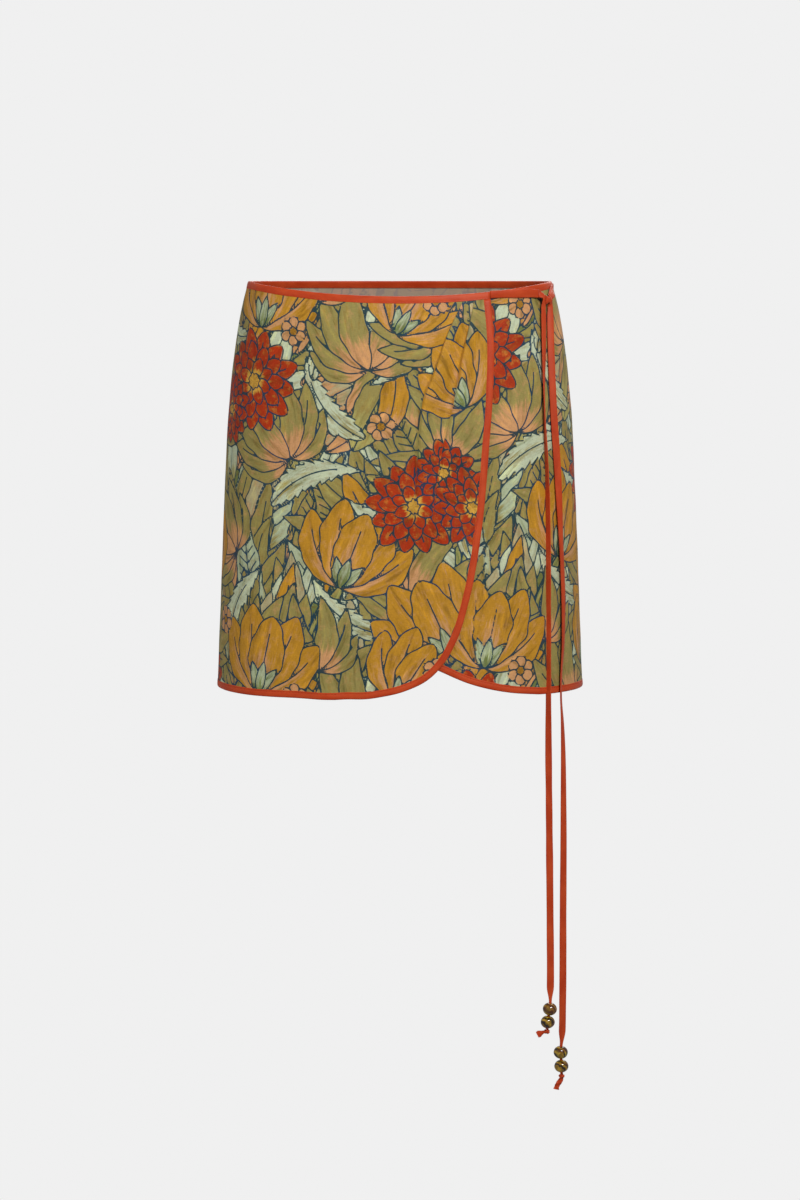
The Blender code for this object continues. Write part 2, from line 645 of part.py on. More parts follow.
def main():
    for thing in list(bpy.data.objects):
        bpy.data.objects.remove(thing, do_unlink=True)
    make_upper_front()
    make_lower_front()
    make_back()
    make_edge_binding("edge_binding_upper", UPPER_EDGE, -1, upper_front)
    make_edge_binding("edge_binding_lower", LOWER_EDGE, 1, lower_front)
    make_front_waist_binding("waist_binding_upper", UPPER_EDGE, -1, upper_front)
    make_front_waist_binding("waist_binding_lower", LOWER_EDGE, 1, lower_front)
    make_back_binding("waist_binding_back", 0, -1, BACK_WAIST_STATIONS)
    make_back_binding("hem_binding_back", -SKIRT_LENGTH, 1, BACK_HEM_STATIONS)
    make_laid_ties_and_knot()
    make_hanging_tie("front_tie", FRONT_TIE, FRONT_TIE_BEADS, FRONT_TAIL)
    make_hanging_tie("side_tie", SIDE_TIE, SIDE_TIE_BEADS, SIDE_TAIL)


main()
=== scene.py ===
# %% [markdown]
# # A short printed wrap skirt, dressed on its frame
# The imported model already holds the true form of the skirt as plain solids. This script gives it its looks: thin
# cloth with a painted print, folded bindings with their stitches, flat ties with a real knot, and stone beads.
# Sizes are written in millimetres and turned into metres where a mesh is made.

# %% Load the frame
import json
import math

import bmesh
import bpy
import numpy as np
from mathutils import Matrix, Vector
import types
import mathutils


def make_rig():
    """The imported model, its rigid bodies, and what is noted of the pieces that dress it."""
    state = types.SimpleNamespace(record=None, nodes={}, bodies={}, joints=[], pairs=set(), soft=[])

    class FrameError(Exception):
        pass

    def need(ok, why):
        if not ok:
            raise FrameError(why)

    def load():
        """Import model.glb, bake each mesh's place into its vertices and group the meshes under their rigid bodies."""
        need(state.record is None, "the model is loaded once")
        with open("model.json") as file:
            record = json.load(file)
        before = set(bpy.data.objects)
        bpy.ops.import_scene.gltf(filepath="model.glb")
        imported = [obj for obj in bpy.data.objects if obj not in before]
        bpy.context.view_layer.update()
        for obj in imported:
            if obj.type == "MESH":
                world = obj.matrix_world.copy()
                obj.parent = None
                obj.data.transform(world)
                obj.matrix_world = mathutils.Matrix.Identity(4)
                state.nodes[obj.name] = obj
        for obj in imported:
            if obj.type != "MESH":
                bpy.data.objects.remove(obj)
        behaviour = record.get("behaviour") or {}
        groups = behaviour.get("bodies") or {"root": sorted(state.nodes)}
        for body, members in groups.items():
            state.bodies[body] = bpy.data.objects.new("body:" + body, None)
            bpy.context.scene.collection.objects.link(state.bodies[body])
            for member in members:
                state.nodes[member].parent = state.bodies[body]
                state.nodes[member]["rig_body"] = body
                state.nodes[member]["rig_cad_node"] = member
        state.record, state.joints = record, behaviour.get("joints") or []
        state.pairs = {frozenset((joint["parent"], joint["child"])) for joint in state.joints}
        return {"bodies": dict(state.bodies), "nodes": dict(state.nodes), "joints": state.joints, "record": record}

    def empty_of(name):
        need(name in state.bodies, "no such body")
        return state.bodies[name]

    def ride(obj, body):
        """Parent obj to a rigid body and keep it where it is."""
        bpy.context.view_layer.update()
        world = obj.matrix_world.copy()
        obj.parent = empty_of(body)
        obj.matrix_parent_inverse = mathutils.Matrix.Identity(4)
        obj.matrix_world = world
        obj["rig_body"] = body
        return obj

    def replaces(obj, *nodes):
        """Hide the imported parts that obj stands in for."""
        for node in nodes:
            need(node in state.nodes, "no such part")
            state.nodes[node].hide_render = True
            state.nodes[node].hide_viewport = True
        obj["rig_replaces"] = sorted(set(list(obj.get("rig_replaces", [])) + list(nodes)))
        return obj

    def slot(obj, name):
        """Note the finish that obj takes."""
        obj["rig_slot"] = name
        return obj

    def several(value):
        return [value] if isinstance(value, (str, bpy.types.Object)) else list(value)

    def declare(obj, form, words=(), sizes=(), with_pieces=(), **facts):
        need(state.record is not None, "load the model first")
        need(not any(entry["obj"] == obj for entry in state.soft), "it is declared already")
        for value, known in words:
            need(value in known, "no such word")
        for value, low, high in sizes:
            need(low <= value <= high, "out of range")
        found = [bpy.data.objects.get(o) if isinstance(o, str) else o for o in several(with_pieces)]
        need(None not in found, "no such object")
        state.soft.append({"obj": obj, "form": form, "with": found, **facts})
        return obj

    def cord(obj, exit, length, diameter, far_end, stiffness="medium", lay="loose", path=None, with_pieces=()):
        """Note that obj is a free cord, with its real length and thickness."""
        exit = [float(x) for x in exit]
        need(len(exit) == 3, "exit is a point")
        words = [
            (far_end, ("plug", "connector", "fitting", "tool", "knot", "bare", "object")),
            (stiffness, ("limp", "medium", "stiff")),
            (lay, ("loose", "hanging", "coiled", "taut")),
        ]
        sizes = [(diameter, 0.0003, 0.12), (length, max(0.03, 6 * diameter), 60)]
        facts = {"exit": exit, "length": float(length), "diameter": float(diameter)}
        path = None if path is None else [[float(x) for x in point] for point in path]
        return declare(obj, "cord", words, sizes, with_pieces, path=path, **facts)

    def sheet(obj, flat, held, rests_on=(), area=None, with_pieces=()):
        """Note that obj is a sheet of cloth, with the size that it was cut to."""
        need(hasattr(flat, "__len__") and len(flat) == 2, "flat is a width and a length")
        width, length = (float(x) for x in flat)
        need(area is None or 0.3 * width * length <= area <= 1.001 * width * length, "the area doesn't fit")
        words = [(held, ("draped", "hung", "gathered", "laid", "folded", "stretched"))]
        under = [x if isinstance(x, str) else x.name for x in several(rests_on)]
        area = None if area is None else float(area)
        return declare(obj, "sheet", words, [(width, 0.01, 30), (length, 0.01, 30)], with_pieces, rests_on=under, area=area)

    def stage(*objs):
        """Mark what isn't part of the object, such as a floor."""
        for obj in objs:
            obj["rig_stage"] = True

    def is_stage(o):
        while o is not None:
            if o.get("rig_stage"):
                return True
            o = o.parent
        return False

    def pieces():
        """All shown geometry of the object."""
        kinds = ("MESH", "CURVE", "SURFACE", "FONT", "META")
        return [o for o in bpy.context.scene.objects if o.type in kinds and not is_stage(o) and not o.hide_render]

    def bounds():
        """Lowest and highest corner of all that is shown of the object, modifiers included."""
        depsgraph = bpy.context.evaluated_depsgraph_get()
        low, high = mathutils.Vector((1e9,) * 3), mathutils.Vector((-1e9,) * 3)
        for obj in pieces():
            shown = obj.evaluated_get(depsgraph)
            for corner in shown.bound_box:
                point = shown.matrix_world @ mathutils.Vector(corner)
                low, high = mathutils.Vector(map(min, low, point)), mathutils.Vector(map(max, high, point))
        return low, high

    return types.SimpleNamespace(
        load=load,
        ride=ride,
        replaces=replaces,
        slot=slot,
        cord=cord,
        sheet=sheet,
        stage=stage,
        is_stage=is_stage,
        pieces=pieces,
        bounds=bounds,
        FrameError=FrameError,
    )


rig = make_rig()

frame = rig.load()
cad_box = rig.bounds()
MM = 0.001
print("the frame has", len(frame["nodes"]), "solids")

# %% [markdown]
# ## The camera
# The camera stands at the height of the waist, so the bound top edge is seen almost as a straight line. A long
# lens from three metres keeps the sides upright.

# %% Camera
FRAME_HEIGHT = 1200  # pixels of the upright frame, which is 800 wide
FOCAL_LENGTH = 3035  # in the same pixels
SENSOR = 36.0
CAMERA_AWAY = 3.0
LOOKS_DOWN = math.radians(6.0)

camera_data = bpy.data.cameras.new("camera")
camera_data.sensor_fit = "VERTICAL"
camera_data.sensor_height = SENSOR
camera_data.lens = FOCAL_LENGTH / FRAME_HEIGHT * SENSOR
camera = bpy.data.objects.new("camera", camera_data)
camera.location = (0, -CAMERA_AWAY, 0)
camera.rotation_euler = (math.pi / 2 - LOOKS_DOWN, 0, 0)
bpy.context.scene.collection.objects.link(camera)
bpy.context.scene.camera = camera
print("lens", round(camera_data.lens, 1), "mm")

# %% [markdown]
# ## Curves through small tables
# Each form below comes from a short table: a height and what the cloth does there. A smooth curve through the rows
# gives every place between them. Splines from a library would do as well, but this one needs only numpy, and it
# reads a whole grid of places in one call.


# %% Table curves
def smooth(knots, values, at):
    """A smooth curve through a table, read at one place or many."""
    knots, values = np.asarray(knots, float), np.asarray(values, float)
    if knots[0] > knots[-1]:
        knots, values = knots[::-1], values[::-1]
    slopes = np.gradient(values, knots)
    at = np.clip(np.asarray(at, float), knots[0], knots[-1])
    i = np.clip(np.searchsorted(knots, at, side="right") - 1, 0, len(knots) - 2)
    span = knots[i + 1] - knots[i]
    t = (at - knots[i]) / span
    start = (1 + 2 * t) * (1 - t) ** 2 * values[i] + t * (1 - t) ** 2 * span * slopes[i]
    end = t * t * (3 - 2 * t) * values[i + 1] - t * t * (1 - t) * span * slopes[i + 1]
    return start + end


def read(table, key, height):
    """One column of a table by height, read at one place or many."""
    return smooth(table["height"], table[key], height)


def smooth_points(along, points, at):
    """A smooth curve through points, each coordinate on its own."""
    return np.column_stack([smooth(along, column, at) for column in points.T])


def points_between(at, along, points):
    """Places on the straight runs between points."""
    return np.column_stack([np.interp(at, along, column) for column in points.T])


def ease(low, high, at):
    """0 below low, 1 above high, and a smooth step between them."""
    t = np.clip((np.asarray(at, float) - low) / (high - low), 0, 1)
    return t * t * (3 - 2 * t)


def lengths_along(line):
    """How far each point of a line is along it."""
    return np.concatenate([[0], np.cumsum(np.linalg.norm(np.diff(line, axis=0), axis=1))])


def unit(vectors):
    """The same directions, each one long."""
    return vectors / np.linalg.norm(vectors, axis=-1, keepdims=True)


print("a smooth step at a quarter, a half and the end:", ease(0, 1, (0.25, 0.5, 1)))


# %% [markdown]
# ## The worn form
# The skirt stands out round a body that isn't there. Its form is a stack of rings, flatter at the front than at the
# back. "Girth" is the distance along the cloth from the centre of the front, and "height" is measured from the
# waist, so a point of the flat cut has one place on the form. A cloth simulation over a dummy could find such a form
# too. The rings are quicker, they come out the same each time, and they follow the frame's own solids.

# %% Worn form
SKIRT_LENGTH = 400.0
FRONT_WAIST_DIP = 14.4  # how much lower the waist is cut at the centre of the front
SECTIONS = {
    "height": (0, -20, -40, -80, -120, -200, -300, -400),
    "half_width": (147.6, 153.0, 157.2, 163.2, 167.3, 171.9, 176.3, 180.3),
    "front_depth": (90, 94, 97, 101, 104, 108, 112, 115),
    "back_depth": (98, 103, 108, 116, 122, 128, 129, 128),
}
SQUARENESS = 0.02  # 0 is an ellipse; more fills out its four shoulders


def ring(angle, height, out=0.0):
    """A point of the worn form. Angle 0 is the centre of the front, and it grows towards the knot's side."""
    half_width, front, behind = (read(SECTIONS, key, height) for key in ("half_width", "front_depth", "back_depth"))
    depth = np.where(np.cos(angle) > 0, front, behind)
    e = SQUARENESS
    x = half_width * (np.sin(angle) + e * np.sin(3 * angle)) / (1 - e)
    y = -depth * (np.cos(angle) - e * np.cos(3 * angle)) / (1 - e)
    along_x = half_width * (np.cos(angle) + 3 * e * np.cos(3 * angle))
    along_y = depth * (np.sin(angle) - 3 * e * np.sin(3 * angle))
    long = np.hypot(along_x, along_y)
    return np.stack([x + out * along_y / long, y - out * along_x / long, height + 0 * x], axis=-1)


RING_ANGLES = np.linspace(-math.pi, math.pi, 721)
RING_LEVELS = np.linspace(-SKIRT_LENGTH, 0, 42)
RING_STEPS = np.linalg.norm(np.diff(ring(RING_ANGLES[None, :], RING_LEVELS[:, None]), axis=1), axis=2)
RING_GIRTHS = np.concatenate([np.zeros((len(RING_LEVELS), 1)), np.cumsum(RING_STEPS, axis=1)], axis=1)
RING_GIRTHS -= RING_GIRTHS[:, [len(RING_ANGLES) // 2]]
QUARTER_GIRTHS = np.array([np.interp(math.pi / 2, RING_ANGLES, row) for row in RING_GIRTHS])


def angle_at(girth, height):
    """The angle round the form that lies a girth from the centre of the front, at a height."""
    girth, height = np.broadcast_arrays(np.asarray(girth, float), np.asarray(height, float))
    place = (height - RING_LEVELS[0]) / (RING_LEVELS[1] - RING_LEVELS[0])
    place = np.clip(place, 0, len(RING_LEVELS) - 1.001)
    level = place.astype(int)
    angle = np.zeros(girth.shape)
    for k in np.unique(level):
        here = level == k
        below = np.interp(girth[here], RING_GIRTHS[k], RING_ANGLES)
        above = np.interp(girth[here], RING_GIRTHS[k + 1], RING_ANGLES)
        angle[here] = below + (above - below) * (place[here] - k)
    return angle


def seam_girth(height):
    """The girth from the centre of the front to a side seam."""
    return np.interp(height, RING_LEVELS, QUARTER_GIRTHS)


def waist_height(angle):
    """The top of the waist, which dips at the front."""
    return np.where(np.cos(angle) > 0, -FRONT_WAIST_DIP * np.cos(angle) ** 2, 0.0)


print("seam to seam round the front of the waist:", round(2 * QUARTER_GIRTHS[-1], 1), "mm")

# %% [markdown]
# ## Tucks and soft folds
# Two tucks start at the corner of the upper front: there the cloth is folded into the waist and then opens. Each
# rises steeply on one side and falls off softly on the other. Lower down the cloth swings in soft folds. Sculpting
# would give such forms by eye. Tables keep them where the frame's solids have them, and each can be moved alone.

# %% Tucks and folds
TUCKS = (
    {
        "height": (-16, -45, -83, -115, -140, -190, -267, -345, -400),
        "girth": (61, 47, 33, 21, 18, 15, 8, -2, -12),
        "rise": (0, 3.0, 4.2, 5.0, 5.2, 4.6, 3.4, 2.6, 2.0),
        "steep_width": (3, 3, 4, 5, 6, 8, 13, 18, 22),
        "soft_width": (9, 14, 20, 26, 28, 28, 26, 24, 24),
    },
    {
        "height": (-16, -40, -70, -109, -158, -229, -306, -370, -400),
        "girth": (71, 66, 59, 52, 40, 30, 24, 19, 16),
        "rise": (0, 2.8, 3.6, 4.4, 4.6, 3.6, 2.6, 2.0, 1.6),
        "steep_width": (3, 3, 4, 5, 6, 9, 13, 16, 18),
        "soft_width": (6, 12, 18, 22, 26, 26, 22, 18, 16),
    },
)
TUCK_SHARPNESS = {"height": (-16, -100, -180, -260), "share": (0.8, 1.0, 1.15, 1.2)}
TUCK_LAP = {"height": (-16, -34, -110, -180, -250), "lap": (0.4, 0.7, 0.35, 0.1, 0.0)}
LAP_SPREAD = 0.42  # how far the lap reaches past an edge of the steep side, as a share of its width
UPPER_FOLDS = {
    "girth": (-150, -104, -74, -50, -30),
    "width": (22, 18, 13, 9, 11),
    "rise": (1.6, -1.4, 2.4, -2.2, 2.2),
    "starts": (-230, -210, -220, -260, -250),
}
LOWER_FOLDS = {
    "girth": (84, 116, 152),
    "width": (12, 12, 16),
    "rise": (0.8, -0.7, 1.2),
    "starts": (-260, -240, -220),
}
BACK_FOLDS = {
    "girth": (-195, -148, -92, -38, 14, 66, 118, 170, 205),
    "width": (16, 20, 17, 19, 16, 20, 18, 20, 15),
    "rise": (1.4, 3.0, -2.0, 3.4, -2.4, 3.2, -1.8, 2.8, -1.2),
    "starts": (-200, -150, -190, -140, -180, -160, -200, -150, -220),
}


def steep_width(tuck, height):
    return read(tuck, "steep_width", height) * read(TUCK_SHARPNESS, "share", height)


def tuck_rise(girth, height):
    """How far the tucks stand out."""
    rise = 0.0
    for tuck in TUCKS:
        across = girth - read(tuck, "girth", height)
        half_steep, soft = steep_width(tuck, height) / 2, read(tuck, "soft_width", height)
        profile = ease(-half_steep, half_steep, across) * (1 - ease(half_steep, half_steep + soft, across))
        rise = rise + read(tuck, "rise", height) * profile
    return rise


def tuck_lap(girth, height):
    """How far the cloth slides sideways at a tuck, so that its edge laps over the cloth beside it like a pleat."""
    slide = 0.0
    for tuck in TUCKS:
        place = (girth - read(tuck, "girth", height)) / steep_width(tuck, height)
        foot, top = (np.exp(-(((place - edge) / LAP_SPREAD) ** 2)) for edge in (-0.5, 0.5))
        slide = slide + read(TUCK_LAP, "lap", height) * (foot - top)
    return slide


def fold_rise(folds, girth, height):
    """How far soft folds stand out. Each opens from where it starts down to the hem."""
    rise = 0.0
    for place, width, out, starts in zip(*(folds[key] for key in ("girth", "width", "rise", "starts"))):
        opened = 1 - ease(-SKIRT_LENGTH, starts, height)
        rise = rise + out * opened * np.exp(-(((girth - place) / width) ** 2))
    return rise


print("the tucks stand out by up to", [max(tuck["rise"]) for tuck in TUCKS], "mm")

# %% [markdown]
# ## Creases
# Worn cloth also has small creases, where it was sat on, folded or pulled by the knot. They are laid one by one, each
# in its own size and direction, because cloth never creases evenly and noise alone looks like crumpled paper. Each
# runs from a first point to a second. Depth is how far in it goes, and less than 0 is a ridge.

# %% Creases
CREASE_FADE = 1.5  # more makes a crease fade sooner towards its ends
UPPER_CREASES = {
    "girth": (
        *(-66, -44, 6, -28, -120, -196, 54, -150, -8, 34, -92, -214, 68, -60),
        *(50, 66, 78, 24, 50, 36, -6, -24, 10, -40, -78, -2, -170, 70),
    ),
    "height": (
        *(-318, -352, -318, -60, -30, -60, -190, -250, -180, -250, -120, -300, -120, -22),
        *(-22, -26, -24, -150, -160, -130, -44, -112, -210, -262, -200, -24, -24, -240),
    ),
    "to_girth": (
        *(-58, -36, 2, -52, -104, -214, 40, -160, -24, 22, -118, -224, 74, -64),
        *(14, 37, 64, 4, 33, 27, -92, -124, -58, -92, -150, -34, -184, 40),
    ),
    "to_height": (
        *(-350, -392, -396, -130, -78, -150, -330, -352, -262, -352, -176, -384, -190, -58),
        *(-118, -150, -128, -330, -330, -290, -140, -236, -340, -384, -300, -70, -110, -330),
    ),
    "width": (
        *(5, 5, 7, 9, 6, 7, 8, 9, 9, 6, 10, 6, 4, 5),
        *(6, 5, 4, 8, 7, 6, 12, 14, 12, 10, 16, 6, 8, 8),
    ),
    "depth": (
        *(1.5, 1.8, 1.5, 0.8, 0.6, 0.8, 1.0, 0.9, 0.8, -0.9, 0.7, 0.9, 0.7, 0.6),
        *(2.4, 2.1, 1.3, 1.5, 1.3, -1.0, 1.1, 1.1, 1.2, 1.1, 0.9, 0.6, 0.7, 0.9),
    ),
}
LOWER_CREASES = {
    "girth": (140, 118, 100, 172, 206, 150, 196, 112),
    "height": (-24, -30, -60, -40, -70, -250, -210, -330),
    "to_girth": (112, 100, 96, 196, 218, 160, 206, 104),
    "to_height": (-92, -120, -190, -110, -170, -360, -330, -384),
    "width": (6, 8, 7, 7, 7, 8, 8, 6),
    "depth": (0.7, 0.5, 0.5, 0.6, 0.5, 0.7, 0.6, 0.7),
}
BACK_CREASES = {
    "girth": (-190, -150, -96, -40, 8, 60, 104, 150, 200, -120, 30, 84, -10, 176, -210, -64),
    "height": (-20, -34, -18, -28, -20, -36, -22, -30, -24, -220, -250, -180, -300, -260, -180, -310),
    "to_girth": (-204, -160, -90, -46, 14, 52, 112, 158, 212, -132, 22, 92, -18, 186, -220, -56),
    "to_height": (-120, -90, -130, -84, -150, -104, -88, -140, -110, -330, -372, -290, -388, -380, -300, -386),
    "width": (8, 6, 9, 6, 9, 7, 6, 9, 7, 9, 8, 9, 6, 8, 9, 6),
    "depth": (0.7, 0.5, 0.6, -0.5, 0.6, 0.5, -0.45, 0.6, 0.5, 0.8, 0.7, -0.6, 0.8, 0.7, 0.6, 0.9),
}


def crease_rise(creases, girth, height):
    """Soft troughs, each deepest at its middle and gone at its ends."""
    rise = 0.0
    for row in zip(*(creases[key] for key in ("girth", "height", "to_girth", "to_height", "width", "depth"))):
        start, run = np.array(row[:2]), np.array(row[2:4]) - np.array(row[:2])
        long = math.hypot(*run)
        along = ((girth - start[0]) * run[0] + (height - start[1]) * run[1]) / long / long
        across = ((girth - start[0]) * run[1] - (height - start[1]) * run[0]) / long
        fades = np.sin(math.pi * np.clip(along, 0, 1)) ** CREASE_FADE
        rise = rise - row[5] * fades * np.exp(-((across / row[4]) ** 2))
    return rise


print("creases:", sum(len(table["girth"]) for table in (UPPER_CREASES, LOWER_CREASES, BACK_CREASES)))

# %% [markdown]
# ## Unevenness
# Nothing sewn by hand is quite even. A sum of a few waves that run different ways gives a smooth field for this,
# and a seed makes it the same each time. Blender has noise of its own, but a node can't move a mesh that other
# pieces have to follow. At the waist the cloth is eased into its binding, which draws it up in small puckers.

# %% Unevenness
WAVE_COUNT, WAVE_LENGTHS, WAVE_SUM = 7, (0.6, 1.7), 3.2
RIPPLE = {"rise": 0.16, "apart": 46}
PUCKERS = {"rise": 0.22, "apart": 17, "fades_in": 14, "steady": 0.55, "strays": 2.2}


def waves(x, y, scale, seed):
    """A smooth uneven field from about -1 to 1."""
    rng = np.random.default_rng(seed)
    total = 0.0
    for _ in range(WAVE_COUNT):
        way, phase, longer = rng.uniform(0, 2 * math.pi), rng.uniform(0, 2 * math.pi), rng.uniform(*WAVE_LENGTHS)
        total = total + np.sin((x * math.cos(way) + y * math.sin(way)) * 2 * math.pi / scale / longer + phase)
    return total / WAVE_SUM


def waves_along(at, scale, seed):
    """The same along one line."""
    return waves(at, 0 * at, scale, seed)


def small_forms(girth, height, below_waist, seed):
    """The puckers under the waist binding and a faint ripple all over."""
    steady = PUCKERS["steady"]
    uneven = steady + (1 - steady) * waves_along(girth, 90, 5)
    strength = PUCKERS["rise"] * np.exp(-np.maximum(below_waist, 0) / PUCKERS["fades_in"]) * uneven
    turn = girth * 2 * math.pi / PUCKERS["apart"] + PUCKERS["strays"] * waves_along(girth, 70, 6)
    return strength * np.sin(turn) + RIPPLE["rise"] * waves(girth, height, RIPPLE["apart"], seed)


print("a ripple from -1 to 1:", np.round(waves_along(np.arange(0.0, 50, 10), RIPPLE["apart"], 1), 2))

# %% [markdown]
# ## Three surfaces
# Each panel is one function: it takes a place on the flat cut and gives the point in space. The upper front stands
# a little off the lower one, and every panel is drawn in slightly along its side seams. Bindings and ties use the
# same functions with a larger "out", so nothing has to be dropped onto the cloth or pushed out of it later.

# %% Panel surfaces
BINDING_WIDTH = 7.0
OVERLAP_LIFT = 2.4  # how far the upper front stands off the lower one
LIFT_GIRTHS = (-112.0, -54.0)  # between these it comes away from the worn form
SEAM_CALM = 40.0  # folds and tucks die out this near a side seam
SEAM_NIP = {"width": 2.6, "depth": 0.5}
HEM_RADIUS = 0.5 * (SECTIONS["half_width"][-1] + SECTIONS["back_depth"][-1])


def up_to_seams(girth, height):
    """The girth, kept from running past a side seam."""
    limit = seam_girth(height)
    return np.clip(girth, -limit, limit)


def seam_nip(off_seam):
    """The shallow groove that a seam's stitches pull."""
    return -SEAM_NIP["depth"] * np.exp(-((off_seam / SEAM_NIP["width"]) ** 2))


def below_binding(girth, height):
    """How far a place of a front lies below the waist binding."""
    return waist_height(angle_at(girth, 0)) - BINDING_WIDTH - height


def upper_front(girth, height, out=0.0, fine=1.0):
    """A point of the upper front, out millimetres off it. Fine is the share of creases and unevenness it gets."""
    girth = up_to_seams(girth, height)
    from_seam = girth + seam_girth(height)
    lift = OVERLAP_LIFT * ease(*LIFT_GIRTHS, girth)
    soft = fold_rise(UPPER_FOLDS, girth, height) + tuck_rise(girth, height)
    soft = soft + fine * crease_rise(UPPER_CREASES, girth, height)
    off_seam = ease(0, SEAM_CALM, from_seam)
    small = fine * small_forms(girth, height, below_binding(girth, height), 1)
    laid = up_to_seams(girth + fine * tuck_lap(girth, height), height)
    return ring(angle_at(laid, height), height, lift + off_seam * soft + small + seam_nip(from_seam) + out)


def lower_front(girth, height, out=0.0, fine=1.0):
    """A point of the lower front."""
    girth = up_to_seams(girth, height)
    from_seam = seam_girth(height) - girth
    soft = fold_rise(LOWER_FOLDS, girth, height) + fine * crease_rise(LOWER_CREASES, girth, height)
    off_seam = ease(0, SEAM_CALM, from_seam)
    small = fine * small_forms(girth, height, below_binding(girth, height), 2)
    return ring(angle_at(girth, height), height, off_seam * soft + small + seam_nip(from_seam) + out)


def back(angle, height, out=0.0, fine=1.0):
    """A point of the back, which runs from a side seam at 90 degrees to the other at 270."""
    to_seam = np.minimum(angle - math.pi / 2, 1.5 * math.pi - angle)
    girth = (angle - math.pi) * HEM_RADIUS
    soft = fold_rise(BACK_FOLDS, girth, height) + fine * crease_rise(BACK_CREASES, girth, height)
    small = fine * small_forms(girth, height, -BINDING_WIDTH - height, 3)
    stands = ease(0, SEAM_CALM / HEM_RADIUS, to_seam) * soft + small + seam_nip(to_seam * HEM_RADIUS)
    return ring(angle, height, stands + out)


print("the corner of the upper front is at", np.round(upper_front(86.0, -8.0), 1))

# %% [markdown]
# ## Meshes from rows of points
# A panel or a strip is a flat grid of faces whose vertices are moved to their points. Blender numbers the vertices
# of a grid itself, so each is found again by where it lies in the flat grid. A curve with a bevel would make a strip
# too, but a grid of rings can turn, cup and narrow as folded satin does, and it can carry its own UV map.


# %% Mesh helpers
CLOSE = 1e-6  # metres: vertices nearer than this become one


def face_outward(bm):
    """Turns the faces of a closed mesh so that they look out of it."""
    bmesh.ops.recalc_face_normals(bm, faces=bm.faces)
    if bm.calc_volume(signed=True) < 0:
        bmesh.ops.reverse_faces(bm, faces=bm.faces)


def grid_order(verts, rows, columns):
    """For each vertex of a flat grid from -1 to 1, its place in rows and columns, as one index."""
    flat = np.array([vert.co[:2] for vert in verts])
    row = np.rint((flat[:, 1] + 1) / 2 * (rows - 1)).astype(int)
    column = np.rint((flat[:, 0] + 1) / 2 * (columns - 1)).astype(int)
    return row * columns + column


def add_grid(bm, points):
    """Adds a grid that is shaped to rows of points in millimetres. Gives its vertices and their order."""
    rows, columns = points.shape[:2]
    verts = bmesh.ops.create_grid(bm, x_segments=columns - 1, y_segments=rows - 1, size=1)["verts"]
    order = grid_order(verts, rows, columns)
    for vert, place in zip(verts, (points.reshape(-1, 3) * MM)[order]):
        vert.co = place
    return verts, order


def mesh_from(name, bm):
    mesh = bpy.data.meshes.new(name)
    bm.to_mesh(mesh)
    bm.free()
    return mesh


def new_piece(name, mesh, slot, *materials):
    """A piece of the skirt that rides on it."""
    for material in materials:
        mesh.materials.append(material)
    mesh.shade_smooth()
    piece = bpy.data.objects.new(name, mesh)
    bpy.context.scene.collection.objects.link(piece)
    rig.ride(piece, "root")
    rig.slot(piece, slot)
    return piece


# %% Strips
def strip_mesh(name, rings):
    """A closed strip through rings of points, one ring for each station, with a UV map in millimetres.

    U is the way round the section and V the way along.
    """
    bm = bmesh.new()
    closed = np.concatenate([rings, rings[:, :1]], axis=1)
    around = closed.shape[1]
    verts, order = add_grid(bm, closed)
    along, round_it = lengths_along(rings.mean(axis=1)), lengths_along(closed[len(rings) // 2])
    uv = bm.loops.layers.uv.new("laid")
    bm.verts.index_update()
    where = dict(zip((vert.index for vert in verts), order))
    for face in bm.faces:
        for loop in face.loops:
            station, place = divmod(where[loop.vert.index], around)
            loop[uv].uv = (round_it[place], along[station])
    bmesh.ops.remove_doubles(bm, verts=bm.verts, dist=CLOSE)
    bmesh.ops.holes_fill(bm, edges=[edge for edge in bm.edges if edge.is_boundary], sides=0)
    face_outward(bm)
    return mesh_from(name, bm)


def new_strip(name, rings, material, node=None):
    """A strip of satin. Node is the solid of the frame that it takes the place of."""
    piece = new_piece(name, strip_mesh(name, rings), "binding", material)
    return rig.replaces(piece, node) if node else piece


print("helpers ready")

# %% [markdown]
# ## A small language for materials
# Nodes are easier to read as arithmetic. A Value wraps a socket, so that `1 - mask * 0.5` adds its own Math nodes,
# and a Finish is one material with a method that adds any other node.


# %% Shader helpers
def join(value, socket):
    """Links a Value to a socket, or sets the socket to a number or a colour."""
    if isinstance(value, Value):
        socket.node.id_data.links.new(value.socket, socket)
    else:
        socket.default_value = value


class Value:
    """A socket that takes part in Python's arithmetic."""

    def __init__(self, socket):
        self.socket = socket

    def maths(self, operation, first, second):
        node = self.socket.node.id_data.nodes.new("ShaderNodeMath")
        node.operation = operation
        join(first, node.inputs[0])
        join(second, node.inputs[1])
        return Value(node.outputs[0])

    def __add__(self, other):
        return self.maths("ADD", self, other)

    def __sub__(self, other):
        return self.maths("SUBTRACT", self, other)

    def __rsub__(self, other):
        return self.maths("SUBTRACT", other, self)

    def __mul__(self, other):
        return self.maths("MULTIPLY", self, other)

    def __truediv__(self, other):
        return self.maths("DIVIDE", self, other)

    def __pow__(self, other):
        return self.maths("POWER", self, other)

    __radd__ = __add__
    __rmul__ = __mul__


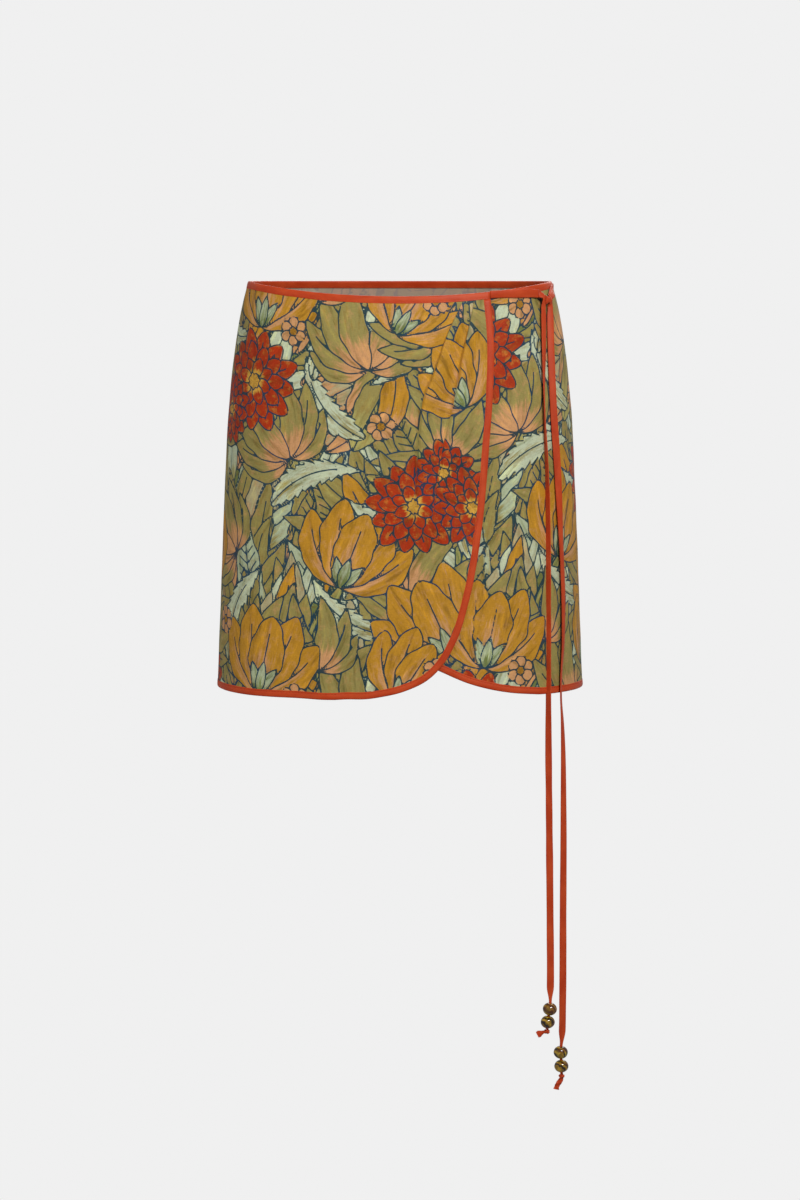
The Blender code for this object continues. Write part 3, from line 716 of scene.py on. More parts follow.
class Finish:
    """A material around one Principled shader."""

    def __init__(self, name, **constants):
        self.material = bpy.data.materials.new(name)
        self.material.use_nodes = True
        self.tree = self.material.node_tree
        self.shader = self.tree.nodes["Principled BSDF"]
        for socket, value in constants.items():
            self.shader.inputs[socket.replace("_", " ")].default_value = value

    def node(self, kind, settings, inputs, output=0):
        """Any node: its settings are set first, then its sockets, by name or by number."""
        made = self.tree.nodes.new("ShaderNode" + kind)
        for key, value in settings.items():
            setattr(made, key, value)
        for key, value in inputs.items():
            join(value, made.inputs[key])
        return Value(made.outputs[output])

    def attribute(self, name, output="Fac"):
        return self.node("Attribute", {"attribute_name": name}, {}, output)

    def place(self, kind="Object"):
        return self.node("TexCoord", {}, {}, kind)

    def scaled(self, vector, scale):
        """A vector stretched by three numbers."""
        return self.node("Mapping", {}, {"Vector": vector, "Scale": scale})

    def noise(self, vector, scale, detail=2.0, rough=0.5):
        inputs = {"Vector": vector, "Scale": scale, "Detail": detail, "Roughness": rough}
        return self.node("TexNoise", {}, inputs)

    def bands(self, vector, inputs):
        """Slanting bands. Inputs says how many there are and how much they wander."""
        settings = {"wave_type": "BANDS", "bands_direction": "DIAGONAL"}
        return self.node("TexWave", settings, {"Vector": vector, **inputs}, "Fac")

    def mix(self, factor, first, second, blend="MIX"):
        """A mix of two colours."""
        settings = {"data_type": "RGBA", "blend_type": blend}
        return self.node("Mix", settings, {0: factor, 6: first, 7: second}, 2)

    def step(self, value, low, high):
        """0 below low, 1 above high, smooth between them."""
        settings = {"interpolation_type": "SMOOTHSTEP"}
        return self.node("MapRange", settings, {"Value": value, "From Min": low, "From Max": high})

    def bump(self, height, distance, strength=1.0):
        inputs = {"Height": height, "Distance": distance, "Strength": strength}
        join(self.node("Bump", {}, inputs), self.shader.inputs["Normal"])

    def set(self, socket, value):
        join(value, self.shader.inputs[socket])


def colour(code, alpha=1.0):
    """A colour from its six hex digits, as a shader takes it."""
    parts = [int(code[i : i + 2], 16) / 255 for i in (0, 2, 4)]
    return (*(p / 12.92 if p <= 0.04045 else ((p + 0.055) / 1.055) ** 2.4 for p in parts), alpha)


print("one colour:", [round(c, 3) for c in colour("B83E26")])

# %% [markdown]
# ## Satin for the bindings and ties
# The strips are cut on the bias from a plain rust satin. Satin is smooth and shines softly, and because the weave
# lies at 45 degrees, its fine lines run slantwise along the strip. An image of threads could be laid on it. Nodes on
# the strip's own UV map need no image, and they stay sharp however near the camera comes.

# %% Satin
SATIN_RUST, SATIN_LIGHT, SATIN_DEEP, THREAD_RUST = "B4380F", "C4481C", "8A240A", "B23C16"
CLOUDY_SCALE, SLUB_SCALE = (0.10, 0.035, 1), (2.2, 0.25, 1)  # across the strip and along it, per millimetre
WEAVE = {"Scale": 0.55, "Distortion": 0.6, "Detail": 1.0}
RELIEF = 0.0002  # metres: how deep a bump of height 1 is in cloth and satin
TWIST_SCALE = 900.0  # per metre, for the fibres of the thread


def make_satin(name, weave_turn):
    """Satin whose weave slants one way or the other: weave_turn is 1 or -1."""
    satin = Finish(name, Roughness=0.5, Sheen_Weight=0.1, Sheen_Roughness=0.4, Specular_IOR_Level=0.25)
    laid = satin.place("UV")
    cloudy = satin.noise(satin.scaled(laid, CLOUDY_SCALE), 1.0, 3.0)
    weave = satin.bands(satin.scaled(laid, (1.0, weave_turn, 1)), WEAVE)
    slub = satin.noise(satin.scaled(laid, SLUB_SCALE), 1.0, 2.0)
    shade = satin.mix(satin.step(cloudy, 0.32, 0.7), colour(SATIN_RUST), colour(SATIN_LIGHT))
    shade = satin.mix(satin.step(slub, 0.52, 0.8) * 0.30, shade, colour(SATIN_DEEP))
    satin.set("Base Color", satin.mix(weave * 0.05, shade, colour(SATIN_DEEP)))
    satin.set("Roughness", 0.40 + cloudy * 0.24)
    satin.bump(weave * 0.16 + slub * 0.35 + cloudy * 1.4, RELIEF, 0.45)
    return satin.material


binding_satin = make_satin("binding_satin", 1.0)
tie_satin = make_satin("tie_satin", -1.0)

thread = Finish("rust_thread", Roughness=0.6, Specular_IOR_Level=0.3)
twist = thread.noise(thread.place(), TWIST_SCALE, 1.0)
thread.set("Base Color", thread.mix(twist, colour(THREAD_RUST), colour(SATIN_RUST)))
print("satin and thread mixed")

# %% [markdown]
# ## A pale studio
# The room looks like pale paper to the camera, but its walls light the skirt much less than that, so the folds keep
# their shadows. One large lamp stands in front, high and to the right, so each fold and tie throws a soft shadow to
# the left. The second fills in from the left, and the third lights the back and the rim from behind. The floor is as
# pale as the room, so no horizon shows. A lit floor would need its brightness tuned to the room's from each side.

# %% Floor, air and lamps
PAPER = (0.871, 0.871, 0.871, 1)
AIR = (0.26, 0.26, 0.26, 1)
FLOOR_HEIGHT, FLOOR_REACH = -0.95, 9
LAMPS_AIM = Vector((0, 0, -0.2))
world = bpy.data.worlds.new("studio")
world.use_nodes = True
air = world.node_tree.nodes
seen = air.new("ShaderNodeLightPath").outputs["Is Camera Ray"]
blend = air.new("ShaderNodeMix")
blend.data_type = "RGBA"
blend.inputs[6].default_value, blend.inputs[7].default_value = AIR, PAPER
world.node_tree.links.new(seen, blend.inputs[0])
world.node_tree.links.new(blend.outputs[2], air["Background"].inputs["Color"])
bpy.context.scene.world = world
bpy.context.scene.view_settings.view_transform = "Standard"

paper = Finish("paper", Base_Color=(0, 0, 0, 1), Roughness=1.0, Specular_IOR_Level=0.0)
paper.set("Emission Color", PAPER)
paper.set("Emission Strength", 1.0)
bm = bmesh.new()
lowered = Matrix.Translation((0, 0, FLOOR_HEIGHT))
bmesh.ops.create_grid(bm, x_segments=1, y_segments=1, size=FLOOR_REACH, matrix=lowered)
floor = bpy.data.objects.new("floor", mesh_from("floor", bm))
floor.data.materials.append(paper.material)
bpy.context.scene.collection.objects.link(floor)
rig.stage(floor)
for unseen in ("visible_diffuse", "visible_glossy", "visible_shadow"):
    setattr(floor, unseen, False)


def hang_lamp(name, power, size, place, mirrored=True):
    """A square lamp of so many watts and metres. One that isn't mirrored leaves no shine on satin and stone."""
    lamp = bpy.data.lights.new(name, "AREA")
    lamp.energy, lamp.size = power, size
    light = bpy.data.objects.new(name, lamp)
    light.location = place
    light.rotation_euler = (LAMPS_AIM - Vector(place)).to_track_quat("-Z", "Y").to_euler()
    light.visible_glossy = mirrored
    bpy.context.scene.collection.objects.link(light)


hang_lamp("key", 56, 0.7, (1.05, -2.0, 1.4))
hang_lamp("fill", 24, 2.0, (-2.2, -1.5, 0.4), mirrored=False)
hang_lamp("behind", 40, 1.6, (0.6, 2.4, 1.2))
print("three lamps and a floor")

# %% [markdown]
# ## The hanging ties
# Each tie is a folded strip that hangs from the knot by its own weight: close in front of the skirt, then free
# below the hem. It turns slowly about its length, and it is gathered in where it goes through its beads. A simulated
# cord would hang too, but it would not come to rest on the cloth at just these places. So each route is a table: how
# far right the tie is, how far off the cloth, and which way its flat side faces (0 is the front, 90 the knot's side).
# The routes are close to those of the frame's own solids.

# %% Tie routes
TIE_STEP = 3.0
HANGS_FREE = -400.0  # below this height a tie hangs straight down
FRONT_TIE = {
    "height": (-22, -40, -80, -120, -190, -270, -340, -404, -440, -520, -620, -690, -709.5, -723, -730),
    "right": (138.6, 138.8, 138.9, 139.2, 142, 143.4, 143.7, 144, 144.2, 145.3, 146.7, 147.3, 147, 144.8, 144.3),
    "off_cloth": (5.2, 4.2, 3.8, 3.8, 3.8, 3.8, 4.0, 4.6, 4.6, 4.6, 4.6, 4.6, 4.6, 4.6, 4.6),
    "faces": (42, 48, 66, 90, 122, 130, 133, 134, 142, 162, 176, 180, 180, 180, 180),
}
SIDE_TIE = {
    "height": (
        *(-21.5, -40, -80, -120, -190, -240, -324, -354, -384),
        *(-402, -428, -520, -620, -700, -742, -756.6, -770.8, -778),
    ),
    "right": (
        *(145.6, 145.6, 146.6, 148.4, 153.2, 155.9, 159.2, 158.8, 157.0),
        *(156.8, 158.3, 160.0, 160.1, 160.2, 159.6, 158.6, 159.4, 159.5),
    ),
    "off_cloth": (5.6, 4.8, 4.6, 4.6, 4.6, 4.2, 4.2, 4.0, 3.2, 3.2, 4.4, 4.2, 4.2, 4.2, 4.2, 4.2, 4.2, 4.2),
    "faces": (27, 22, 16, 12, 18, 50, 62, 72, 78, 78, 64, 34, 16, 10, 8, 6, 4, 4),
}
SIDE_ANGLES = np.linspace(0.2, 1.55, 400)  # from near the centre of the front to near the side seam


def tie_depth(right, height, off_cloth):
    """How far forward a point is that lies a distance off the lower front, at a height."""
    points = ring(SIDE_ANGLES, np.full(len(SIDE_ANGLES), float(height)), off_cloth)
    return float(np.interp(right, points[:, 0], points[:, 1]))


def tie_route(table):
    """Points down the middle of a hanging tie, and the way that its flat side faces."""
    top, end = table["height"][0], table["height"][-1]
    heights = np.linspace(top, end, 1 + round((top - end) / TIE_STEP))
    right, off_cloth, faces = (read(table, key, heights) for key in ("right", "off_cloth", "faces"))
    hem_right, hem_off = (float(read(table, key, HANGS_FREE)) for key in ("right", "off_cloth"))
    hem_depth = tie_depth(hem_right, HANGS_FREE, hem_off)
    depth = [tie_depth(x, z, off) if z > HANGS_FREE else hem_depth for x, z, off in zip(right, heights, off_cloth)]
    return np.column_stack([right, depth, heights]), np.radians(faces)


def route_point(route, height):
    """Where a route is at a height."""
    return points_between([-height], -route[:, 2], route)[0]


route_of = {"front_tie": tie_route(FRONT_TIE), "side_tie": tie_route(SIDE_TIE)}
for tie_name, (route, _) in route_of.items():
    print(tie_name, "hangs", round(float(lengths_along(route)[-1])), "mm")

# %% [markdown]
# ## The section of a tie
# A tie is folded from a wider strip and sewn along one edge. So its section is flat, with round edges and a shallow
# channel beside the stitched edge. Rings of this section are set square to a line and joined into a strip.

# %% Tie section
TIE_WIDTH, TIE_THICK = 7.0, 1.4
TIE_SECTION = 18  # points round it
EDGE_ROUND = {"across": 0.55, "through": 0.45}  # 1 is an ellipse, and less is more like a box
CHANNEL = {"at": 0.62, "half_width": 0.12, "depth": 0.30}


def boxy(wave, power):
    """A sine or cosine wave that is pressed towards -1 and 1."""
    return np.sign(wave) * np.abs(wave) ** power


SECTION_TURN = np.linspace(0, 2 * math.pi, TIE_SECTION, endpoint=False)
SECTION_ACROSS = boxy(np.cos(SECTION_TURN), EDGE_ROUND["across"])
CHANNEL_SHAPE = np.exp(-(((SECTION_ACROSS - CHANNEL["at"]) / CHANNEL["half_width"]) ** 2))
SECTION_THROUGH = boxy(np.sin(SECTION_TURN), EDGE_ROUND["through"]) * (1 - CHANNEL["depth"] * CHANNEL_SHAPE)


def ribbon_rings(line, facing, widths, thicks, cup):
    """Rings of a folded strip along a line. Facing is the way that its flat side looks at each point.

    Cup is how far its middle bulges forward, in millimetres.
    """
    ahead = unit(np.gradient(line, axis=0))
    across = unit(np.cross(ahead, facing))
    out = np.cross(across, ahead)
    u = SECTION_ACROSS[None, :, None] * (widths[:, None, None] / 2)
    v = SECTION_THROUGH[None, :, None] * (thicks[:, None, None] / 2)
    v = v + cup * (1 - SECTION_ACROSS[None, :, None] ** 2) * (widths[:, None, None] / TIE_WIDTH)
    return line[:, None] + u * across[:, None] + v * out[:, None]


def facing_from(angles):
    """Directions from angles: 0 is the front, 90 degrees the knot's side."""
    return np.column_stack([np.sin(angles), -np.cos(angles), np.zeros(len(angles))])


print("the section is", round(float(np.ptp(SECTION_THROUGH)) / 2 * TIE_THICK, 2), "mm thick at its thickest")

# %% [markdown]
# ## The hanging strips
# The strip keeps its width until it is gathered for its first bead. There it folds in on itself, so it gets
# narrower and thicker together. At its other end it comes narrow and thin out of the side knot, so the end of its
# mesh stays hidden inside the turns of the knot.

# %% Hanging ties
BEADS = {"front_tie": (-709.9, -722.9), "side_tie": (-756.7, -770.6)}  # the heights of their middles
BEAD_DIAMETER, BEAD_HEIGHT, BEAD_HOLE = 13.8, 12.6, 3.8
TIE_THREADED = 0.4  # how much of its width a tie keeps where it is gathered through a bead
GATHER_LENGTH = 16.0
KNOT_END_WIDTH, KNOT_END_LENGTH = 0.7, 14.0  # how much of its width it has at the knot, and for how long
TIE_UNEVEN, TURN_UNEVEN = 0.03, 0.05  # as a share of its width, and in radians
TIE_CUP, TAIL_CUP, LAID_CUP, TURN_CUP = 0.18, 0.5, 0.3, 0.25  # how much the parts of a tie bulge, in millimetres
TIE_FULLNESS = {"flat": 0.92, "gathered": 0.45, "at_knot": -0.25}  # as shares of its thickness


def make_hanging_tie(name):
    route, faces = route_of[name]
    first_bead_top = max(BEADS[name]) + BEAD_HEIGHT / 2
    spread_out = ease(first_bead_top + 1, first_bead_top + GATHER_LENGTH, route[:, 2])
    opens_out = ease(0, KNOT_END_LENGTH, route[0, 2] - route[:, 2])
    share = (TIE_THREADED + (1 - TIE_THREADED) * spread_out) * (KNOT_END_WIDTH + (1 - KNOT_END_WIDTH) * opens_out)
    uneven = waves_along(route[:, 2], 60, len(name))
    widths = TIE_WIDTH * share * (1 + TIE_UNEVEN * uneven)
    full = TIE_FULLNESS["flat"] + TIE_FULLNESS["gathered"] * (1 - spread_out)
    thicks = TIE_THICK * (full + TIE_FULLNESS["at_knot"] * (1 - opens_out))
    rings = ribbon_rings(route, facing_from(faces + TURN_UNEVEN * uneven), widths, thicks, TIE_CUP)
    return new_strip(name + "_strip", rings, tie_satin)


tie_strips = {name: make_hanging_tie(name) for name in route_of}
print("tie strips:", [len(strip.data.polygons) for strip in tie_strips.values()])

# %% [markdown]
# ## Stone beads
# Two round beads of brown banded stone are threaded on each tie. Banded stone is a mix of bands and clouds, so a
# wave texture is bent and laid over with noise. A coat gives the polish. The texture lies in the object's own space,
# as real bands go right through a bead, which makes every bead different.

# %% Banded stone
STONE_DARK, STONE_BROWN, STONE_GOLD, STONE_GREEN, STONE_RED = "24160A", "80600F", "C09A30", "6F6C18", "5E2A10"
stone = Finish("banded_stone", Roughness=0.12, Coat_Weight=0.5, Coat_Roughness=0.05, Specular_IOR_Level=0.5)
grain = stone.place()
cloud = stone.noise(grain, 120.0, 3.0, 0.6)
bands = stone.bands(grain, {"Scale": 75.0, "Distortion": 6.5, "Detail": 3.0, "Detail Scale": 1.6})
shade = stone.mix(stone.step(bands + cloud * 0.8, 0.62, 1.02), colour(STONE_DARK), colour(STONE_BROWN))
shade = stone.mix(stone.step(bands * cloud, 0.36, 0.50) * 0.85, shade, colour(STONE_GOLD))
shade = stone.mix(stone.step(cloud, 0.53, 0.62) * 0.6, shade, colour(STONE_GREEN))
shade = stone.mix(stone.step(stone.noise(grain, 70.0, 1.0), 0.56, 0.64) * 0.6, shade, colour(STONE_RED))
stone.set("Base Color", shade)
print("stone polished")

# %% [markdown]
# A bead is turned from a profile: its outside, then the small round where the hole opens, then the hole. The spin
# tool would turn it evenly. Here each ring is worked out, so that the bead can be a little uneven, as hand-cut
# stone is. It tilts with the tie that runs through it.

# %% Stone beads
BEAD_AROUND = 44
BEAD_UNEVEN = 0.026  # as a share of its radius
BEAD_OUTSIDE = {"points": 26, "share": 0.95}  # the share of the way to the hole's rim that is plainly round
HOLE_ROUND = {"deeper": 0.1, "wider": 0.2, "until": 0.6}  # the small round where the hole opens


def local_axes(direction):
    """Three axes as rows, the last one along a direction."""
    along = unit(np.asarray(direction, float))
    right = unit(np.cross((0, 1, 0), along))
    return np.stack([right, np.cross(along, right), along])


def make_stone_bead(name, route, height, seed):
    """A turned bead with a hole down its middle, rounded where the hole opens, and not quite even."""
    rim = math.acos(BEAD_HOLE / BEAD_DIAMETER)
    turn = np.linspace(-BEAD_OUTSIDE["share"] * rim, BEAD_OUTSIDE["share"] * rim, BEAD_OUTSIDE["points"])
    outer = np.column_stack([BEAD_DIAMETER / 2 * np.cos(turn), BEAD_HEIGHT / 2 * np.sin(turn)])
    mouth, hole = BEAD_HEIGHT / 2 * math.sin(rim), BEAD_HOLE / 2
    opening = [(hole + HOLE_ROUND["wider"], mouth - HOLE_ROUND["deeper"]), (hole, mouth - HOLE_ROUND["until"])]
    inner = [*opening, (hole, 0), *((out, -up) for out, up in reversed(opening))]
    profile = np.vstack([outer, inner, outer[:1]])
    around = np.linspace(0, 2 * math.pi, BEAD_AROUND, endpoint=False)
    x, y = profile[:, :1] * np.cos(around), profile[:, :1] * np.sin(around)
    z = np.broadcast_to(profile[:, 1:], x.shape)
    grow = 1 + BEAD_UNEVEN * waves(x + 0.7 * z, y - 0.5 * z, 15, seed) * (profile[:, :1] > hole + 0.5)
    points = np.stack([x * grow, y * grow, z], axis=-1)
    run = route_point(route, height + BEAD_HEIGHT / 2) - route_point(route, height - BEAD_HEIGHT / 2)
    points = points @ local_axes(run) + route_point(route, height)
    bead = new_piece(name + "_stone", strip_mesh(name + "_stone", points), "bead", stone.material)
    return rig.replaces(bead, name)


def thread_beads(tie_name, heights):
    """The two beads of one tie. The seed of each comes from its height."""
    route = route_of[tie_name][0]
    places = zip(("upper", "lower"), heights)
    return [make_stone_bead(f"{tie_name}_{place}_bead", route, at, 3 + round(-at)) for place, at in places]


tie_beads = {name: thread_beads(name, heights) for name, heights in BEADS.items()}
print("beads:", sum(map(len, tie_beads.values())))

# %% [markdown]
# ## Knots and tails
# A knot in a flat strip is a strip that goes over itself. The small end knots follow a trefoil, the simplest knot
# there is, pulled tight. A round lump would do from far away, but up close the crossings show. The tail that comes
# out of each knot is the last of the strip, twisted as it was pulled. Its tables go step by step from the knot's
# middle: how far right and down, how wide, and which way it faces.

# %% End knots
END_KNOT_RADII = (2.9, 2.6, 2.1)
KNOT_GAP = 0.3
KNOT_STRIP = {"width": 2.7, "thick": 1.1, "points": 73, "cup": 0.25, "flatter": 0.78}
TREFOIL_TURN = {"front_tie": 0.5, "side_tie": 1.3}


def end_middle(name):
    """The middle of the knot under a tie's last bead."""
    return route_of[name][0][-1] - np.array([0, 0, END_KNOT_RADII[2] + KNOT_GAP])


def make_end_knot(name):
    t = np.linspace(0, 2 * math.pi, KNOT_STRIP["points"])
    x, y, over = np.sin(t) + 2 * np.sin(2 * t), np.cos(t) - 2 * np.cos(2 * t), np.sin(3 * t)
    turn = TREFOIL_TURN[name]
    right, up = x * math.cos(turn) - y * math.sin(turn), x * math.sin(turn) + y * math.cos(turn)
    reach = np.array(END_KNOT_RADII) - KNOT_STRIP["thick"] / 2
    line = np.column_stack([right / 3 * reach[0], over * reach[1] * KNOT_STRIP["flatter"], up / 3 * reach[2]])
    width, thick = (np.full(len(line), KNOT_STRIP[key]) for key in ("width", "thick"))
    rings = ribbon_rings(line, unit(line), width, thick, KNOT_STRIP["cup"])
    return new_strip(name + "_end_wrap", rings + end_middle(name), tie_satin, name + "_end_knot")


print("the end knots hang at", [round(float(end_middle(name)[2])) for name in route_of], "mm")

# %% Tails
TAIL_POINTS = 14  # for each step
TAIL_FULLER = 0.25  # how much thicker the tail is where it leaves the knot
TAILS = {
    "front_tie": {
        "right": (-1.2, -3.4, -5.2, -7.4, -9.6),
        "down": (0.2, 0.5, 1.2, 2.2, 3.4),
        "width": (2.6, 3.0, 4.4, 6.6, 6.0),
        "faces": (20, 14, 4, -14, -34),
    },
    "side_tie": {
        "right": (0.1, -0.3, -1.6, -3.5, -4.6, -5.2),
        "down": (0.6, 2.9, 5.6, 8.4, 11.0, 13.6),
        "width": (2.8, 4.6, 5.0, 5.6, 4.8, 6.0),
        "faces": (0, 30, -34, 36, -30, 8),
    },
}


def make_tail(name):
    table = TAILS[name]
    steps = np.arange(len(table["right"]))
    at = np.linspace(0, steps[-1], TAIL_POINTS * len(steps))
    right, down, widths, faces = (smooth(steps, table[key], at) for key in ("right", "down", "width", "faces"))
    line = end_middle(name) + np.column_stack([right, 0 * at, -down])
    thicks = TIE_THICK * (1 + TAIL_FULLER * (1 - ease(0, 2, at)))
    rings = ribbon_rings(line, facing_from(np.radians(faces)), widths, thicks, TAIL_CUP)
    return new_strip(name + "_tail_strip", rings, tie_satin, name + "_tail")


tie_ends = {name: [make_end_knot(name), make_tail(name)] for name in route_of}
print("end pieces:", [piece.name for pair in tie_ends.values() for piece in pair])

# %% [markdown]
# ## The hanging ties as cords
# Each hanging tie is a free cord, 7 mm wide and limp. It leaves the skirt at the foot of the knot and ends in its
# own small knot. Here it is declared as such, with its beads, knot and tail, so that whoever poses the skirt knows
# what may swing. The length is the whole run of the strip from the foot of the side knot to its end knot.

# %% Cords
PATH_POINTS = 36  # about how many points of its route a cord is declared with


def in_metres(point):
    return tuple(float(c) * MM for c in point)


for name, strip in tie_strips.items():
    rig.replaces(strip, name)
    route = route_of[name][0]
    path = [in_metres(point) for point in route[:: max(1, len(route) // PATH_POINTS)]]
    path.append(in_metres(route[-1]))
    length = float(lengths_along(route)[-1]) * MM
    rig.cord(
        *(strip, path[0], length, TIE_WIDTH * MM, "knot"),
        **{"stiffness": "limp", "lay": "hanging", "path": path, "with_pieces": tie_beads[name] + tie_ends[name]},
    )
    print(name, "is", round(length, 3), "m long")

# %% [markdown]
# ## The laid ties and the knot between them
# The waist strip of the upper front runs on past its corner as a tie that lies on the lower front. A second tie
# comes forward out of the side seam. Both bend down in the knot and go on as the hanging ties, and a third turn of
# strip between them holds both. The laid ties follow the surface of the lower front, so they can't sink into it.

# %% Laid ties
LAID_STEP = 1.5
LAID_UNEVEN = {"out": 0.25, "width": 0.03}
WAIST_TIE = {
    "girth": (86.3, 101, 114, 126, 134, 140),
    "height": (-12.8, -12.3, -12.0, -11.7, -11.7, -12.3),
    "out": (2.9, 2.8, 2.9, 3.2, 3.6, 4.0),
    "width": (7.0, 7.4, 8.0, 8.4, 8.3, 7.8),
}
SEAM_TIE = {
    "girth": (196.5, 192, 188, 183, 177, 170, 163, 156.5),
    "height": (-5.4, -5.5, -5.7, -6.3, -7.6, -9.8, -12.4, -15.4),
    "out": (1.1, 1.15, 1.2, 1.3, 1.6, 2.6, 4.4, 5.6),
    "width": (6.6, 7.0, 7.2, 7.8, 8.6, 8.8, 8.2, 6.4),
    "pressed": (0.5, 0.5, 0.5, 0.6, 0.8, 1, 1, 1),
    "lean": (0, 0, 0, 2, 8, 20, 36, 24),
}


def make_laid_tie(name, table):
    """A tie on the lower front. Where it leans, its upper edge lies nearer to the cloth than its lower edge."""
    corners = np.column_stack([table["girth"], table["height"]]).astype(float)
    along = lengths_along(corners)
    at = np.linspace(0, along[-1], round(along[-1] / LAID_STEP))
    girth, height, out, width = (smooth(along, table[key], at) for key in ("girth", "height", "out", "width"))
    line = lower_front(girth, height, out, fine=0)
    facing = lower_front(girth, height, out + 1, fine=0) - line
    line = line + LAID_UNEVEN["out"] * waves_along(at, 34, 8)[:, None] * facing
    width = width * (1 + LAID_UNEVEN["width"] * waves_along(at, 25, 9))
    lean = np.radians(smooth(along, table.get("lean", 0 * along), at))[:, None]
    facing = np.cos(lean) * facing + np.sin(lean) * np.array([0, 0, 1.0])
    thick = TIE_THICK * smooth(along, table.get("pressed", 1 + 0 * along), at)
    rings = ribbon_rings(line, facing, width, thick, LAID_CUP)
    ahead = unit(line[-1] - line[-2])
    ends_at[name] = {"place": line[-1], "faces": unit(facing[-1]), "ahead": ahead, "width": width[-1]}
    return new_strip(name + "_strip", rings, tie_satin, name)


ends_at = {}  # for each laid tie: where it ends in the knot, which way it faces and runs there, and its width
for name, table in (("waist_tie", WAIST_TIE), ("seam_tie", SEAM_TIE)):
    tie = make_laid_tie(name, table)
    print(tie.name, "runs", round(abs(table["girth"][-1] - table["girth"][0])), "mm round the skirt")

# %% [markdown]
# ## The side knot
# A knot modelled as one lump never looks tied. Here each tie goes through the knot as a turn of its own: it starts
# inside the end of a laid tie, bends over and down, and ends inside the top of a hanging tie, so no cut end shows.
# The turn across them closes on itself. Each row gives right, up and out from the middle of the knot, and then the
# width of the strip there.

# %% Side knot
KNOT = {"girth": 152.0, "height": -18.8, "out": 5.1}
TURN_POINTS = 70
TURN_INSIDE = 2.5  # how far back into its laid tie a turn starts
NARROWER_INSIDE = 0.15  # how much narrower it is there, so that it doesn't come through
WIDTHS_HANGING = (5.7, 5.2)  # at two points of the hanging tie that a turn ends in
TURN_THICK, TURN_THINS = 1.35, {"by": 0.8, "over": (7, 1)}  # over the last millimetres before its end
FACES_OUT = 2.0  # more turns the flat side of a turn further to the front
KNOT_TURNS = {
    "waist_tie": ((-9.4, 5.6, -1.4, 7.4), (-7.6, 4.0, 0.6, 6.6), (-7.2, 1.4, 1.5, 5.8), (-7.5, -1.2, 1.2, 5.5)),
    "seam_tie": ((2.2, 2.4, 2.0, 6.8), (1.2, 0.8, 2.6, 6.2), (2.0, -0.8, 2.6, 5.4), (3.1, -2.4, 2.0, 5.5)),
    "across": (
        *((-2.6, 4.2, 0.2, 3.6), (-3.4, 3.2, 2.6, 4.0), (-4.6, 0.8, 3.4, 4.4), (-5.6, -1.6, 2.8, 4.0)),
        *((-6.0, -3.0, 0.6, 3.6), (-4.8, -2.0, -1.4, 3.6), (-3.4, 1.0, -1.8, 3.6), (-2.6, 3.4, -1.0, 3.6)),
        (-2.6, 4.2, 0.2, 3.6),
    ),
}
knot_middle, knot_beyond = (lower_front(KNOT["girth"], KNOT["height"], KNOT["out"] + step) for step in (0, 1))
knot_out = unit(knot_beyond - knot_middle)
knot_axes = np.stack([np.array([-knot_out[1], knot_out[0], 0]), np.array([0, 0, 1.0]), knot_out])


def make_knot_turn(name, table, hangs=None):
    """A turn of strip in the knot. One that hangs starts inside a laid tie and ends inside a hanging one."""
    table = np.array(table)
    points, widths = table[:, :3] @ knot_axes + knot_middle, table[:, 3]
    facing = unit(table[:, :3] - (np.mean(table[:, 0]), 0, -FACES_OUT)) @ knot_axes
    if hangs:
        end, (route, faces) = ends_at[name], route_of[hangs]
        points = np.vstack([end["place"] - TURN_INSIDE * end["ahead"], end["place"], points, route[[1, 4]]])
        facing = unit(facing + FACES_OUT * knot_out)
        facing = np.vstack([end["faces"], end["faces"], facing, facing_from(faces[[1, 4]])])
        widths = np.concatenate([2 * [end["width"] - NARROWER_INSIDE], widths, WIDTHS_HANGING])
    along = lengths_along(points)
    at = np.linspace(0, along[-1], TURN_POINTS)
    line, facing = (smooth_points(along, rows, at) for rows in (points, facing))
    thins_from, thins_to = (along[-1] - before for before in TURN_THINS["over"])
    thick = TURN_THICK - (TURN_THINS["by"] if hangs else 0) * ease(thins_from, thins_to, at)
    rings = ribbon_rings(line, unit(facing), smooth(along, widths, at), thick, TURN_CUP)
    return new_strip("knot_turn_" + name, rings, tie_satin, "tie_knot")


for name, table in KNOT_TURNS.items():
    turn = make_knot_turn(name, table, {"waist_tie": "front_tie", "seam_tie": "side_tie"}.get(name))
    print(turn.name, "is a turn of", len(turn.data.polygons), "faces")

# %% [markdown]
# ## Folded bindings
# A bias strip is folded over the raw edge of the cloth and sewn down near its inner side. Its section is fullest
# near the fold, and the seam draws it in. The same section runs along the waist, the front edges and the hem. It
# could be swept along a curve in space. Here it is laid out on the flat cut first, and the surface of the panel then
# carries it, so that it keeps to the cloth through every fold. The section's rows say how far into the cloth and how
# far out, from the fold to the inner side.

# %% Finished edges
BINDING_SIDE = (
    *((0.0, 0.0), (0.22, 0.52), (0.85, 0.86), (2.0, 1.0), (3.6, 1.02), (4.9, 0.90), (5.5, 0.78)),
    *((5.9, 0.80), (6.5, 0.92), (6.9, 0.80), (7.0, 0.52)),
)
BINDING_SECTION = np.array([*BINDING_SIDE, *((into, -out) for into, out in BINDING_SIDE[:0:-1])])
UPPER_EDGE = {
    "girth": (86, 90, 89, 86, 78, 66, 54, 43, 25, 4, -24, -63),
    "height": (-8, -55, -110, -151, -238, -305, -343, -363, -381, -391, -397.5, -400),
}
LOWER_EDGE = {
    "girth": (-42, -36, -24, -9, 6, 22, 46, 66, 86, 108, 140),
    "height": (-10, -100, -200, -298, -343, -363, -376, -384.6, -390.5, -395, -398.5),
}


